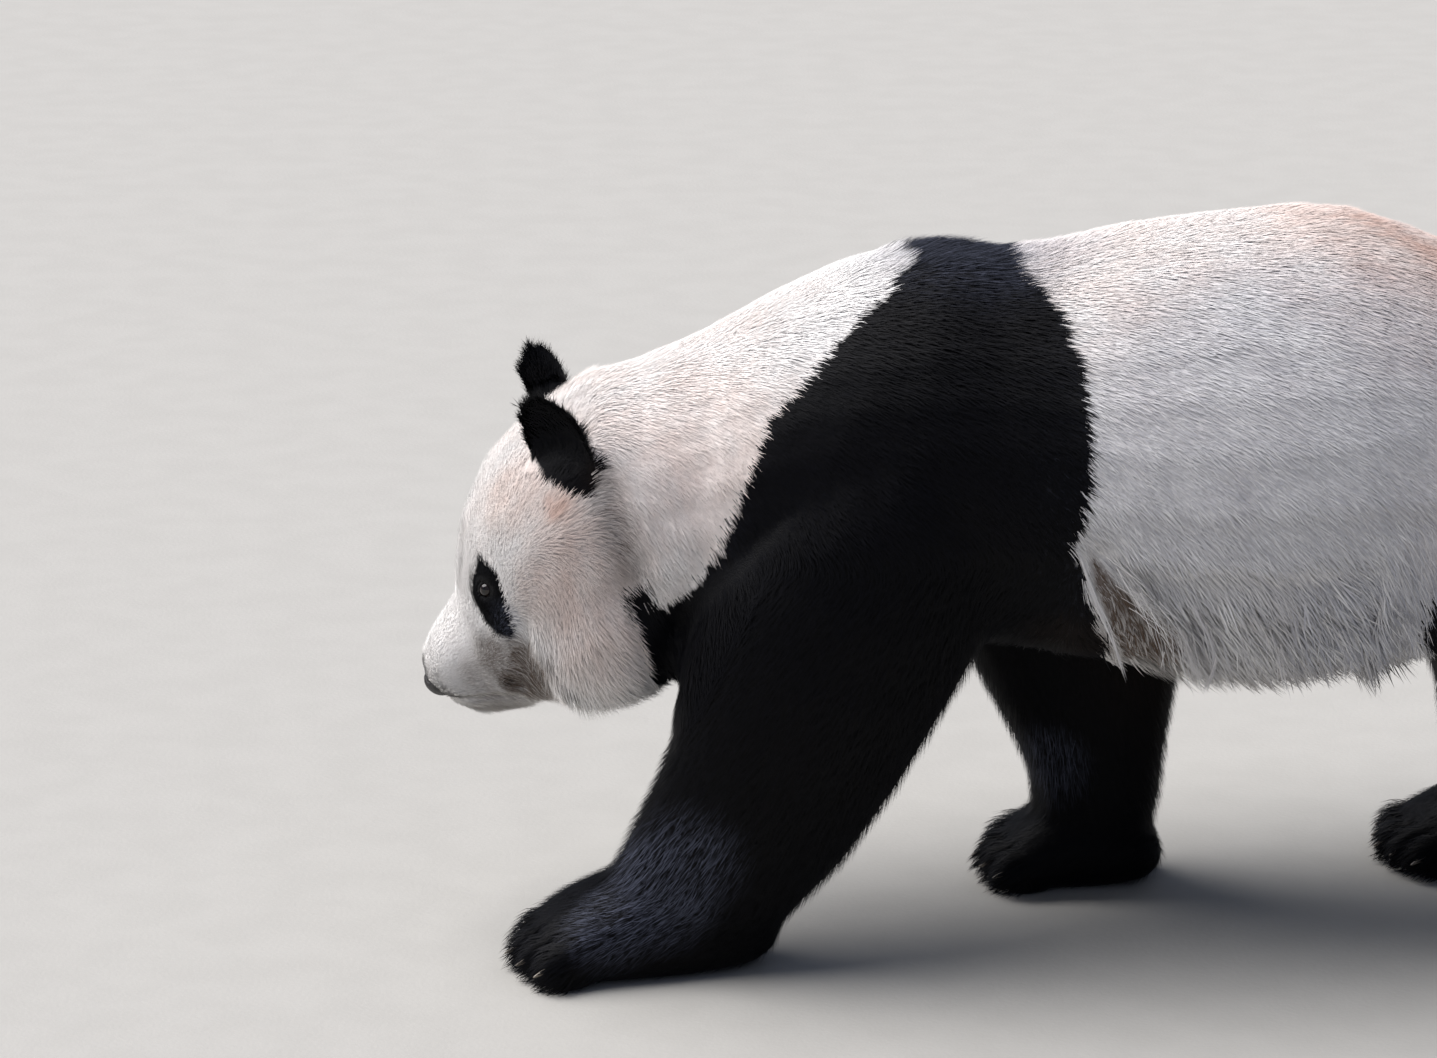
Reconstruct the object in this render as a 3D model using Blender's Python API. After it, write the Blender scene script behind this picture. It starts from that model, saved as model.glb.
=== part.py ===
# A life-size giant panda, walking with its head lowered, as closed solids parted by thin cuts.
# The animal faces -X, its left side is -Y and it stands on z = 0. All sizes are in metres.
import math

import bmesh
import bpy
import numpy as np
from mathutils import Matrix, Vector
from mathutils.bvhtree import BVHTree

# Thin cut between neighbouring pieces
GAP = 0.0003

# Fusing and fairing of the flesh
VOXEL = 0.008
FAIRING = 0.5
FAIRING_STEPS = 9
FLESH_TRIANGLES = 2950
RING_SIDES = 28
STEPS_PER_STATION = 4
MASS_LEVEL = 3
SMALL_BALL_LEVEL = 2
SOLE_SINK = 0.006
FLOOR_REACH = 2.0
FLOOR_DEPTH = 1.0
SHARP_ANGLE = math.radians(50)

# Body stations from rump to nose, out to the tips of the coat:
# top edge x, z; bottom edge x, z; middle y; half width; fullness; how much wider it is below
BODY_STATIONS = (
    (0.610, 0.540, 0.602, 0.462, 0.0, 0.070, 2.0, 0.00),
    (0.588, 0.630, 0.575, 0.390, 0.0, 0.160, 2.1, 0.02),
    (0.530, 0.692, 0.515, 0.334, 0.0, 0.218, 2.2, 0.05),
    (0.440, 0.740, 0.435, 0.305, 0.0, 0.250, 2.2, 0.08),
    (0.330, 0.774, 0.330, 0.289, 0.0, 0.272, 2.2, 0.10),
    (0.215, 0.769, 0.220, 0.281, 0.0, 0.280, 2.2, 0.10),
    (0.105, 0.756, 0.110, 0.294, 0.0, 0.268, 2.2, 0.09),
    (0.020, 0.739, 0.010, 0.318, 0.0, 0.246, 2.2, 0.07),
    (-0.045, 0.738, -0.090, 0.330, 0.0, 0.228, 2.2, 0.05),
    (-0.105, 0.744, -0.190, 0.328, 0.0, 0.218, 2.2, 0.05),
    (-0.175, 0.728, -0.275, 0.330, 0.0, 0.204, 2.2, 0.05),
    (-0.255, 0.694, -0.335, 0.336, 0.0, 0.184, 2.2, 0.04),
    (-0.335, 0.653, -0.374, 0.335, 0.0, 0.165, 2.1, 0.04),
    (-0.410, 0.621, -0.402, 0.328, 0.0, 0.156, 2.3, 0.03),
    (-0.463, 0.605, -0.436, 0.298, 0.0, 0.156, 2.5, 0.02),
    (-0.510, 0.571, -0.474, 0.275, 0.0, 0.150, 2.5, 0.04),
    (-0.557, 0.528, -0.503, 0.262, 0.0, 0.132, 2.4, 0.06),
    (-0.587, 0.470, -0.526, 0.252, 0.0, 0.104, 2.1, 0.04),
    (-0.598, 0.412, -0.545, 0.247, 0.0, 0.074, 2.2, 0.00),
    (-0.600, 0.374, -0.562, 0.245, 0.0, 0.060, 2.3, 0.00),
    (-0.616, 0.350, -0.582, 0.249, 0.0, 0.054, 2.4, 0.00),
    (-0.632, 0.323, -0.605, 0.263, 0.0, 0.045, 2.3, 0.00),
    (-0.637, 0.302, -0.621, 0.278, 0.0, 0.024, 2.0, 0.00),
)

# Leg stations from the trunk down: front edge x, z; rear edge x, z; middle y; half width; fullness; spread
NEAR_FORELEG = (
    (-0.190, 0.640, -0.020, 0.640, -0.110, 0.080, 2.0, 0.0),
    (-0.275, 0.530, -0.010, 0.530, -0.132, 0.094, 2.1, 0.0),
    (-0.345, 0.420, -0.022, 0.430, -0.148, 0.096, 2.2, 0.0),
    (-0.376, 0.330, -0.062, 0.340, -0.156, 0.090, 2.2, 0.0),
    (-0.388, 0.255, -0.104, 0.265, -0.154, 0.083, 2.2, 0.0),
    (-0.412, 0.190, -0.145, 0.190, -0.142, 0.079, 2.2, 0.0),
    (-0.436, 0.135, -0.192, 0.118, -0.131, 0.075, 2.2, 0.0),
    (-0.450, 0.088, -0.238, 0.066, -0.122, 0.069, 2.2, 0.0),
    (-0.450, 0.040, -0.286, 0.024, -0.116, 0.052, 2.2, 0.0),
)
FAR_FORELEG = (
    (-0.130, 0.640, 0.045, 0.640, 0.110, 0.080, 2.0, 0.0),
    (-0.135, 0.530, 0.110, 0.530, 0.130, 0.094, 2.1, 0.0),
    (-0.120, 0.420, 0.165, 0.420, 0.145, 0.094, 2.2, 0.0),
    (-0.070, 0.300, 0.202, 0.310, 0.150, 0.090, 2.2, 0.0),
    (-0.026, 0.215, 0.198, 0.230, 0.150, 0.083, 2.2, 0.0),
    (0.008, 0.154, 0.187, 0.165, 0.144, 0.077, 2.2, 0.0),
    (0.028, 0.100, 0.178, 0.095, 0.138, 0.072, 2.2, 0.0),
    (0.036, 0.044, 0.160, 0.036, 0.136, 0.054, 2.2, 0.0),
)
NEAR_HINDLEG = (
    (0.330, 0.640, 0.545, 0.640, -0.110, 0.090, 2.0, 0.0),
    (0.350, 0.520, 0.596, 0.540, -0.135, 0.108, 2.2, 0.0),
    (0.385, 0.420, 0.615, 0.440, -0.152, 0.110, 2.2, 0.0),
    (0.428, 0.330, 0.632, 0.340, -0.162, 0.098, 2.2, 0.0),
    (0.478, 0.240, 0.656, 0.240, -0.160, 0.084, 2.2, 0.0),
    (0.527, 0.165, 0.680, 0.155, -0.156, 0.072, 2.2, 0.0),
    (0.556, 0.100, 0.700, 0.085, -0.152, 0.066, 2.2, 0.0),
    (0.566, 0.044, 0.692, 0.038, -0.150, 0.050, 2.2, 0.0),
)
FAR_HINDLEG = (
    (0.330, 0.640, 0.545, 0.640, 0.110, 0.090, 2.0, 0.0),
    (0.345, 0.520, 0.594, 0.540, 0.135, 0.108, 2.2, 0.0),
    (0.372, 0.420, 0.606, 0.430, 0.152, 0.110, 2.2, 0.0),
    (0.418, 0.320, 0.608, 0.320, 0.162, 0.096, 2.2, 0.0),
    (0.466, 0.230, 0.610, 0.220, 0.163, 0.080, 2.2, 0.0),
    (0.486, 0.150, 0.606, 0.140, 0.161, 0.070, 2.2, 0.0),
    (0.490, 0.090, 0.606, 0.070, 0.160, 0.064, 2.2, 0.0),
    (0.488, 0.044, 0.590, 0.036, 0.160, 0.050, 2.2, 0.0),
)

# Paws: heel x, toe-tip x, middle y, height over the wrist, half width, turn of the toes inwards
PAWS = {
    "foreleg_left": (-0.262, -0.550, -0.116, 0.118, 0.082, math.radians(4)),
    "foreleg_right": (0.182, -0.028, 0.136, 0.096, 0.080, math.radians(-6)),
    "hindleg_left": (0.722, 0.512, -0.150, 0.092, 0.074, math.radians(-6)),
    "hindleg_right": (0.624, 0.418, 0.160, 0.092, 0.074, math.radians(6)),
}
# Along the paw from heel to toes: share of the length, share of the height, share of the half width,
# height of the underside over the sole
PAW_STATIONS = (
    (0.00, 0.42, 0.40, 0.026),
    (0.12, 0.68, 0.68, 0.009),
    (0.34, 0.97, 0.86, 0.000),
    (0.56, 0.95, 0.96, 0.000),
    (0.76, 0.74, 0.98, 0.000),
    (0.90, 0.52, 0.84, 0.000),
)
PAW_FULLNESS = 2.3
PAW_SPREAD = 0.06
TOES = 5
TOE_SPACING = 0.42
TOE_LENGTH = 0.036
TOE_WIDTH = 0.0185
TOE_HALF_HEIGHT = 0.029
TOE_MIDDLE = 0.0248
TOE_STAGGER = 0.0075
TOE_STAGGER_POWER = 1.5
TOE_FAN = 0.09
CLAW_LENGTH = 0.034
CLAW_RADIUS = 0.0052
CLAW_INSIDE = 0.024
CLAW_RISE = 0.003
CLAW_DROP = 0.30
CLAW_SIDES = 6
CLAW_SLIMNESS = 0.72
# Along the claw: share of the length, share of the radius
CLAW_RINGS = ((0.0, 0.95), (0.55, 0.85), (0.94, 0.24))

# Cheeks, brow, muzzle sides and rump muscles: middle, half sizes, tilt about Y in degrees
# A mass off the middle plane is repeated on the other side.
MASSES = (
    ("cheek", (-0.448, 0.108, 0.368), (0.076, 0.056, 0.094), 8),
    ("jowl", (-0.440, 0.096, 0.325), (0.062, 0.048, 0.050), 0),
    ("temple", (-0.510, 0.072, 0.478), (0.055, 0.050, 0.075), 20),
    ("muzzle_pad", (-0.588, 0.026, 0.297), (0.032, 0.026, 0.028), 30),
    ("withers", (-0.085, 0.045, 0.672), (0.120, 0.070, 0.072), 0),
    ("brisket", (-0.330, 0.060, 0.355), (0.052, 0.080, 0.085), 10),
)

# Ears, eyes, nose and tail
EAR_PLACE = (-0.491, 0.104, 0.5715)
EAR_RADIUS = 0.046
EAR_STRETCH = 1.23
EAR_THICKNESS = 0.020
EAR_CUP = 0.013
EAR_CUP_FALL = 1.1
EAR_BOW = 0.010
EAR_SEGMENTS = 18
EAR_RINGS = 8
# The far ear is turned further forward; Y counts outwards
EAR_FACING = {"left": (-0.61, 0.75, -0.245), "right": (-0.82, 0.51, -0.25)}
EAR_RISE = {"left": (-0.645, -0.02, 0.764), "right": (-0.75, -0.075, 0.657)}
EYE_RADIUS = 0.0105
EYE_PLACE = (-0.571, 0.404)
EYE_GAZE = (-0.50, 0.86, -0.04)
EYE_SINK = 0.0035
EYE_LINE_START = 0.20
SOCKET_SIDES = 20
SOCKET_REACH = 0.0315
SOCKET_START = 0.001
SOCKET_RADII = (0.00945, 0.01995)
NOSE_PLACE = (-0.6165, 0.0, 0.2795)
NOSE_SIZE = (0.0165, 0.0235, 0.0125)
NOSE_TILT = math.radians(38)
NOSE_NARROWING = 0.30
TAIL_DETAIL = 0.28
TAIL_STATIONS = (
    (0.600, 0.590, 0.548, 0.560, 0.0, 0.040, 2.0, 0.0),
    (0.636, 0.555, 0.572, 0.520, 0.0, 0.052, 2.1, 0.0),
    (0.650, 0.500, 0.590, 0.480, 0.0, 0.050, 2.1, 0.0),
    (0.645, 0.455, 0.606, 0.448, 0.0, 0.032, 2.0, 0.0),
)

# Cuts as boxes: low corner, high corner, tilt about Y in degrees, point that it turns about (x, z)
LEFT, RIGHT = (-0.40, -0.055), (0.055, 0.40)
CUTS = (
    ("head", (-0.80, -0.40, 0.258), (-0.382, 0.40, 0.80), -13, (-0.382, 0.258)),
    ("neck", (-0.80, -0.40, 0.280), (-0.376, 0.40, 1.20), 26, (-0.376, 0.280)),
    ("foreleg_left_paw", (-0.65, LEFT[0], -0.10), (-0.15, LEFT[1], 0.088), 16, (-0.34, 0.088)),
    ("foreleg_left_lower", (-0.55, LEFT[0], -0.10), (-0.02, LEFT[1], 0.262), 0, (0, 0)),
    ("foreleg_left_upper", (-0.50, LEFT[0], 0.10), (0.03, LEFT[1], 0.470), 0, (0, 0)),
    ("foreleg_right_paw", (-0.12, RIGHT[0], -0.10), (0.24, RIGHT[1], 0.084), 12, (0.09, 0.084)),
    ("foreleg_right_lower", (-0.15, RIGHT[0], -0.10), (0.25, RIGHT[1], 0.262), 0, (0, 0)),
    ("foreleg_right_upper", (-0.17, RIGHT[0], 0.10), (0.21, RIGHT[1], 0.470), 0, (0, 0)),
    ("hindleg_left_paw", (0.44, LEFT[0], -0.10), (0.80, LEFT[1], 0.080), 6, (0.63, 0.080)),
    ("hindleg_left_lower", (0.40, LEFT[0], -0.10), (0.80, LEFT[1], 0.270), -10, (0.56, 0.270)),
    ("hindleg_left_upper", (0.34, LEFT[0], 0.05), (0.80, LEFT[1], 0.500), 0, (0, 0)),
    ("hindleg_right_paw", (0.30, RIGHT[0], -0.10), (0.70, RIGHT[1], 0.080), 6, (0.52, 0.080)),
    ("hindleg_right_lower", (0.36, RIGHT[0], -0.10), (0.78, RIGHT[1], 0.270), 0, (0, 0)),
    ("hindleg_right_upper", (0.34, RIGHT[0], 0.05), (0.80, RIGHT[1], 0.500), 0, (0, 0)),
    ("chest", (-0.60, -0.50, 0.00), (0.030, 0.50, 1.00), 0, (0, 0)),
    ("rump", (0.395, -0.50, 0.00), (0.90, 0.50, 1.00), 0, (0, 0)),
)
HEAD_CUTS = (
    ("muzzle", (-0.80, -0.20, 0.00), (-0.541, 0.20, 0.390), -27, (-0.541, 0.300)),
)
MUZZLE_CUTS = (
    ("jaw", (-0.80, -0.20, 0.00), (-0.400, 0.20, 0.2705), -11, (-0.600, 0.2705)),
)

# Colours as linear RGB with roughness
CREAM = ((0.80, 0.70, 0.59), 0.85)
BLACK = ((0.012, 0.012, 0.016), 0.80)
DARK_SKIN = ((0.015, 0.013, 0.012), 0.45)
EYE_BROWN = ((0.020, 0.011, 0.006), 0.08)
HORN = ((0.32, 0.27, 0.20), 0.40)


def clear_scene():
    for old in list(bpy.data.objects):
        bpy.data.objects.remove(old, do_unlink=True)


def eased(rows, steps):
    # A smooth curve through every station, read a few times between neighbours
    rows = np.array(rows, float)
    padded = np.vstack((2 * rows[0] - rows[1], rows, 2 * rows[-1] - rows[-2]))
    read = []
    for i in range(len(rows) - 1):
        before, here, there, after = padded[i : i + 4]
        for k in range(steps):
            t = k / steps
            a = 2 * here
            b = (there - before) * t
            c = (2 * before - 5 * here + 4 * there - after) * t**2
            d = (3 * here - before - 3 * there + after) * t**3
            read.append((a + b + c + d) / 2)
    read.append(rows[-1])
    return read


def ring_points(station):
    ax, az, bx, bz, y, half_width, fullness, spread = station
    points = []
    for i in range(RING_SIDES):
        turn = 2 * math.pi * i / RING_SIDES
        along = math.copysign(abs(math.cos(turn)) ** (2 / fullness), math.cos(turn))
        across = math.copysign(abs(math.sin(turn)) ** (2 / fullness), math.sin(turn))
        x = (ax + bx + (ax - bx) * along) / 2
        z = (az + bz + (az - bz) * along) / 2
        points.append((x, y + half_width * across * (1 - spread * along), z))
    return points


def loft(bm, stations, place=None):
    # Rings bridged one to the next, with a fan of faces on each end
    rings = []
    for station in eased(stations, STEPS_PER_STATION):
        rings.append([bm.verts.new(point) for point in ring_points(station)])
    made = [vert for ring in rings for vert in ring]
    for first, second in zip(rings, rings[1:]):
        for i in range(RING_SIDES):
            j = (i + 1) % RING_SIDES
            bm.faces.new((first[i], first[j], second[j], second[i]))
    for ring in (rings[0], rings[-1]):
        middle = bm.verts.new(sum((vert.co for vert in ring), Vector()) / RING_SIDES)
        made.append(middle)
        for i in range(RING_SIDES):
            bm.faces.new((ring[i], ring[(i + 1) % RING_SIDES], middle))
    if place is not None:
        bmesh.ops.transform(bm, matrix=place, verts=made)


def ellipsoid(bm, middle, half_sizes, tilt=0.0, turn=0.0):
    place = Matrix.Translation(middle) @ Matrix.Rotation(turn, 4, "Z") @ Matrix.Rotation(tilt, 4, "Y")
    place = place @ Matrix.Diagonal((*half_sizes, 1))
    bmesh.ops.create_icosphere(bm, subdivisions=MASS_LEVEL, radius=1, matrix=place)


def new_object(name, bm):
    bmesh.ops.recalc_face_normals(bm, faces=bm.faces)
    mesh = bpy.data.meshes.new(name)
    bm.to_mesh(mesh)
    bm.free()
    made = bpy.data.objects.new(name, mesh)
    bpy.context.scene.collection.objects.link(made)
    return made


def settle(thing):
    # The mesh with its modifiers worked in
    graph = bpy.context.evaluated_depsgraph_get()
    mesh = bpy.data.meshes.new_from_object(thing.evaluated_get(graph))
    thing.modifiers.clear()
    thing.data = mesh
    mesh.name = thing.name
    return thing


def add_modifier(thing, kind, **settings):
    modifier = thing.modifiers.new(kind.title(), kind)
    for key, value in settings.items():
        setattr(modifier, key, value)


def combine(thing, other, operation):
    add_modifier(thing, "BOOLEAN", object=other, operation=operation, solver="EXACT")
    return settle(thing)


def copy_of(thing, name):
    made = bpy.data.objects.new(name, thing.data.copy())
    bpy.context.scene.collection.objects.link(made)
    return made


def drop(thing):
    bpy.data.objects.remove(thing, do_unlink=True)


def swollen(thing, by):
    # A copy moved outwards along its normals, to cut a neighbour with a gap
    made = copy_of(thing, thing.name + "_cutter")
    bm = bmesh.new()
    bm.from_mesh(made.data)
    bm.normal_update()
    moves = [(vert, vert.normal * by * vert.calc_shell_factor()) for vert in bm.verts]
    for vert, move in moves:
        vert.co += move
    bm.to_mesh(made.data)
    bm.free()
    return made


def make_room(host, guest):
    # A hollow in the host that the guest fills but for the gap
    cutter = swollen(guest, GAP)
    combine(host, cutter, "DIFFERENCE")
    drop(cutter)


def box(low, high, tilt, pivot, grow):
    bm = bmesh.new()
    size = [h - l + 2 * grow for l, h in zip(low, high)]
    middle = [(l + h) / 2 for l, h in zip(low, high)]
    turn_point = Vector((pivot[0], 0, pivot[1]))
    turn = Matrix.Translation(turn_point) @ Matrix.Rotation(math.radians(tilt), 4, "Y")
    turn = turn @ Matrix.Translation(-turn_point)
    place = turn @ Matrix.Translation(middle) @ Matrix.Diagonal((*size, 1))
    bmesh.ops.create_cube(bm, size=1, matrix=place)
    return new_object("box_cutter", bm)


def cut_off(rest, name, low, high, tilt, pivot):
    # Moves what lies in the box into a piece of its own, a gap away from the rest
    piece = copy_of(rest, name)
    cutter = box(low, high, tilt, pivot, 0)
    combine(piece, cutter, "INTERSECT")
    drop(cutter)
    cutter = box(low, high, tilt, pivot, GAP)
    combine(rest, cutter, "DIFFERENCE")
    drop(cutter)
    keep_largest(piece)
    keep_largest(rest)
    return piece


def paw_frame(leg):
    heel, toe, y, height, half_width, turn = PAWS[leg]
    place = Matrix.Translation(((heel + toe) / 2, y, 0)) @ Matrix.Rotation(turn, 4, "Z")
    return place, (heel - toe), height, half_width


def toe_places(leg):
    # Middle of each toe in the world, with the way that it points
    place, length, _, half_width = paw_frame(leg)
    places = []
    for i in range(TOES):
        side = i - (TOES - 1) / 2
        forward = length / 2 - TOE_LENGTH - TOE_STAGGER * abs(side) ** TOE_STAGGER_POWER
        local = Vector((-forward, side * TOE_SPACING * half_width, TOE_MIDDLE))
        ahead = Vector((-1, side * TOE_FAN, 0)).normalized()
        places.append((place @ local, (place.to_3x3() @ ahead).normalized()))
    return places


def add_paw(bm, leg):
    place, length, height, half_width = paw_frame(leg)
    stations = []
    for share, tall, wide, lift in PAW_STATIONS:
        x = length * (0.5 - share)
        under = lift - SOLE_SINK
        stations.append((x, height * tall, x, under, 0, half_width * wide, PAW_FULLNESS, PAW_SPREAD))
    loft(bm, stations, place)
    for middle, ahead in toe_places(leg):
        turn = math.atan2(-ahead.y, -ahead.x)
        ellipsoid(bm, middle, (TOE_LENGTH, TOE_WIDTH, TOE_HALF_HEIGHT), 0.0, turn)


def make_flesh():
    bm = bmesh.new()
    loft(bm, BODY_STATIONS)
    for stations in (NEAR_FORELEG, FAR_FORELEG, NEAR_HINDLEG, FAR_HINDLEG):
        loft(bm, stations)
    for leg in PAWS:
        add_paw(bm, leg)
    for _, (x, y, z), half_sizes, tilt in MASSES:
        for side in (-1, 1):
            ellipsoid(bm, (x, side * y, z), half_sizes, math.radians(tilt))
    flesh = new_object("flesh", bm)
    add_modifier(flesh, "REMESH", mode="VOXEL", voxel_size=VOXEL)
    add_modifier(flesh, "SMOOTH", factor=FAIRING, iterations=FAIRING_STEPS)
    settle(flesh)
    quads = len(flesh.data.polygons)
    add_modifier(flesh, "DECIMATE", ratio=FLESH_TRIANGLES / (2 * quads))
    settle(flesh)
    floor = box((-FLOOR_REACH, -FLOOR_REACH, -FLOOR_DEPTH), (FLOOR_REACH, FLOOR_REACH, 0), 0, (0, 0), 0)
    combine(flesh, floor, "DIFFERENCE")
    drop(floor)
    return flesh


def surface_point(thing, start, way):
    bm = bmesh.new()
    bm.from_mesh(thing.data)
    tree = BVHTree.FromBMesh(bm)
    hit = tree.ray_cast(Vector(start), Vector(way))[0]
    bm.free()
    return hit


def make_ear(end, side):
    # A round cupped lobe whose hollow looks forward and outward
    bm = bmesh.new()
    poles_ahead = Matrix.Rotation(math.radians(90), 4, "X")
    bmesh.ops.create_uvsphere(
        bm,
        u_segments=EAR_SEGMENTS,
        v_segments=EAR_RINGS,
        radius=1,
        matrix=poles_ahead,
    )
    for vert in bm.verts:
        x, y, z = vert.co
        cup = EAR_CUP * max(0.0, 1 - (x * x + z * z) * EAR_CUP_FALL) if y < 0 else 0.0
        bow = EAR_BOW * (x * x + z * z)
        vert.co = (x * EAR_RADIUS, y * EAR_THICKNESS / 2 + cup - bow, z * EAR_RADIUS * EAR_STRETCH)
    outwards = Matrix.Diagonal((1, side, 1))
    facing = (outwards @ Vector(EAR_FACING[end])).normalized()
    upward = outwards @ Vector(EAR_RISE[end])
    sideways = facing.cross(upward).normalized()
    upward = sideways.cross(facing).normalized()
    turn = Matrix((sideways, -facing, upward)).transposed().to_4x4()
    place = Matrix.Translation((EAR_PLACE[0], side * EAR_PLACE[1], EAR_PLACE[2])) @ turn
    bmesh.ops.transform(bm, matrix=place, verts=bm.verts)
    return new_object("ear_" + end, bm)


def make_eye(name, side, head):
    gaze = Vector((EYE_GAZE[0], side * EYE_GAZE[1], EYE_GAZE[2])).normalized()
    level = Vector((EYE_PLACE[0], side * EYE_LINE_START, EYE_PLACE[1]))
    surface = surface_point(head, level, (0, -side, 0))
    middle = surface - gaze * (EYE_RADIUS + EYE_SINK)
    bm = bmesh.new()
    bmesh.ops.create_icosphere(
        bm,
        subdivisions=SMALL_BALL_LEVEL,
        radius=EYE_RADIUS,
        matrix=Matrix.Translation(middle),
    )
    eye = new_object(name, bm)
    # The socket is the eyeball's own hollow, open to the front
    bm = bmesh.new()
    turn = gaze.to_track_quat("Z", "Y").to_matrix().to_4x4()
    bmesh.ops.create_cone(
        bm,
        cap_ends=True,
        segments=SOCKET_SIDES,
        radius1=SOCKET_RADII[0],
        radius2=SOCKET_RADII[1],
        depth=SOCKET_REACH,
        matrix=Matrix.Translation(middle + gaze * (SOCKET_REACH / 2 + SOCKET_START)) @ turn,
    )
    mouth = new_object("socket_cutter", bm)
    combine(head, mouth, "DIFFERENCE")
    drop(mouth)
    make_room(head, eye)
    return eye


def make_nose(name):
    # A wide pad, flatter in front and narrower below
    bm = bmesh.new()
    bmesh.ops.create_icosphere(bm, subdivisions=SMALL_BALL_LEVEL, radius=1)
    for vert in bm.verts:
        x, y, z = vert.co
        narrow = 1 - NOSE_NARROWING * max(0.0, -z)
        vert.co = (x * NOSE_SIZE[0], y * NOSE_SIZE[1] * narrow, z * NOSE_SIZE[2])
    place = Matrix.Translation(NOSE_PLACE) @ Matrix.Rotation(NOSE_TILT, 4, "Y")
    bmesh.ops.transform(bm, matrix=place, verts=bm.verts)
    return new_object(name, bm)


def make_claw(name, toe_middle, ahead):
    # A short curved spike set into the toe
    start = toe_middle + ahead * (TOE_LENGTH - CLAW_INSIDE) + Vector((0, 0, CLAW_RISE))
    down = Vector((0, 0, -1))
    bm = bmesh.new()
    rings = []
    for share, thick in CLAW_RINGS:
        middle = start + ahead * CLAW_LENGTH * share + down * CLAW_DROP * CLAW_LENGTH * share**2
        across = ahead.cross(down)
        ring = []
        for i in range(CLAW_SIDES):
            turn = 2 * math.pi * i / CLAW_SIDES
            offset = across * math.cos(turn) * CLAW_SLIMNESS + down * math.sin(turn)
            ring.append(bm.verts.new(middle + offset * CLAW_RADIUS * thick))
        rings.append(ring)
    for first, second in zip(rings, rings[1:]):
        for i in range(CLAW_SIDES):
            j = (i + 1) % CLAW_SIDES
            bm.faces.new((first[i], first[j], second[j], second[i]))
    bm.faces.new(rings[0])
    bm.faces.new(rings[-1])
    return new_object(name, bm)


def make_tail(rump):
    bm = bmesh.new()
    loft(bm, TAIL_STATIONS)
    tail = new_object("tail", bm)
    add_modifier(tail, "DECIMATE", ratio=TAIL_DETAIL)
    settle(tail)
    make_room(tail, rump)
    return tail


def keep_largest(thing):
    # Drops crumbs that a cut leaves apart from the main body
    bm = bmesh.new()
    bm.from_mesh(thing.data)
    left = set(bm.verts)
    shells = []
    while left:
        first = next(iter(left))
        shell = {first}
        front = [first]
        while front:
            vert = front.pop()
            for edge in vert.link_edges:
                other = edge.other_vert(vert)
                if other not in shell:
                    shell.add(other)
                    front.append(other)
        left -= shell
        shells.append(shell)
    shells.sort(key=len)
    crumbs = [vert for shell in shells[:-1] for vert in shell]
    if crumbs:
        bmesh.ops.delete(bm, geom=crumbs, context="VERTS")
        bm.to_mesh(thing.data)
    bm.free()


def give_material(thing, colour, roughness):
    material = bpy.data.materials.new(thing.name)
    material.use_nodes = True
    shader = material.node_tree.nodes["Principled BSDF"]
    shader.inputs["Base Color"].default_value = (*colour, 1)
    shader.inputs["Roughness"].default_value = roughness
    thing.data.materials.clear()
    thing.data.materials.append(material)
    thing.data.shade_smooth()
    thing.data.set_sharp_from_angle(angle=SHARP_ANGLE)


def make_panda():
    pieces = {}
    rest = make_flesh()
    for name, low, high, tilt, pivot in CUTS:
        pieces[name] = cut_off(rest, name, low, high, tilt, pivot)
    rest.name = "belly"
    pieces["belly"] = rest
    head = pieces["head"]
    for name, low, high, tilt, pivot in HEAD_CUTS:
        pieces[name] = cut_off(head, name, low, high, tilt, pivot)
    for name, low, high, tilt, pivot in MUZZLE_CUTS:
        pieces[name] = cut_off(pieces["muzzle"], name, low, high, tilt, pivot)
    for side, end in ((-1, "left"), (1, "right")):
        ear = make_ear(end, side)
        make_room(head, ear)
        pieces[ear.name] = ear
        pieces["eye_" + end] = make_eye("eye_" + end, side, head)
    nose = make_nose("nose")
    make_room(pieces["muzzle"], nose)
    make_room(pieces["jaw"], nose)
    pieces["nose"] = nose
    pieces["tail"] = make_tail(pieces["rump"])
    for leg in PAWS:
        paw = pieces[leg + "_paw"]
        for i, (middle, ahead) in enumerate(toe_places(leg)):
            claw = make_claw(f"{leg}_claw_{i + 1}", middle, ahead)
            make_room(paw, claw)
            pieces[claw.name] = claw
    return pieces


def finish(pieces):
    for piece in pieces.values():
        keep_largest(piece)
    corners = [corner.co for piece in pieces.values() for corner in piece.data.vertices]
    low = Vector([min(point[k] for point in corners) for k in range(3)])
    high = Vector([max(point[k] for point in corners) for k in range(3)])
    shift = Matrix.Translation((-(low.x + high.x) / 2, -(low.y + high.y) / 2, -low.z))
    for name, piece in pieces.items():
        piece.data.transform(shift)
        if "claw" in name:
            look = HORN
        elif name.startswith("eye"):
            look = EYE_BROWN
        elif name == "nose":
            look = DARK_SKIN
        elif name.startswith(("foreleg", "hindleg", "ear", "chest")):
            look = BLACK
        else:
            look = CREAM
        give_material(piece, *look)


clear_scene()
finish(make_panda())
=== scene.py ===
# A giant panda in mid step, life size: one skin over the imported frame, a coat of tufts, eyes, nose, claws
import math

import bpy
import numpy as np
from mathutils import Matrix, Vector
from mathutils.bvhtree import BVHTree


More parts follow.
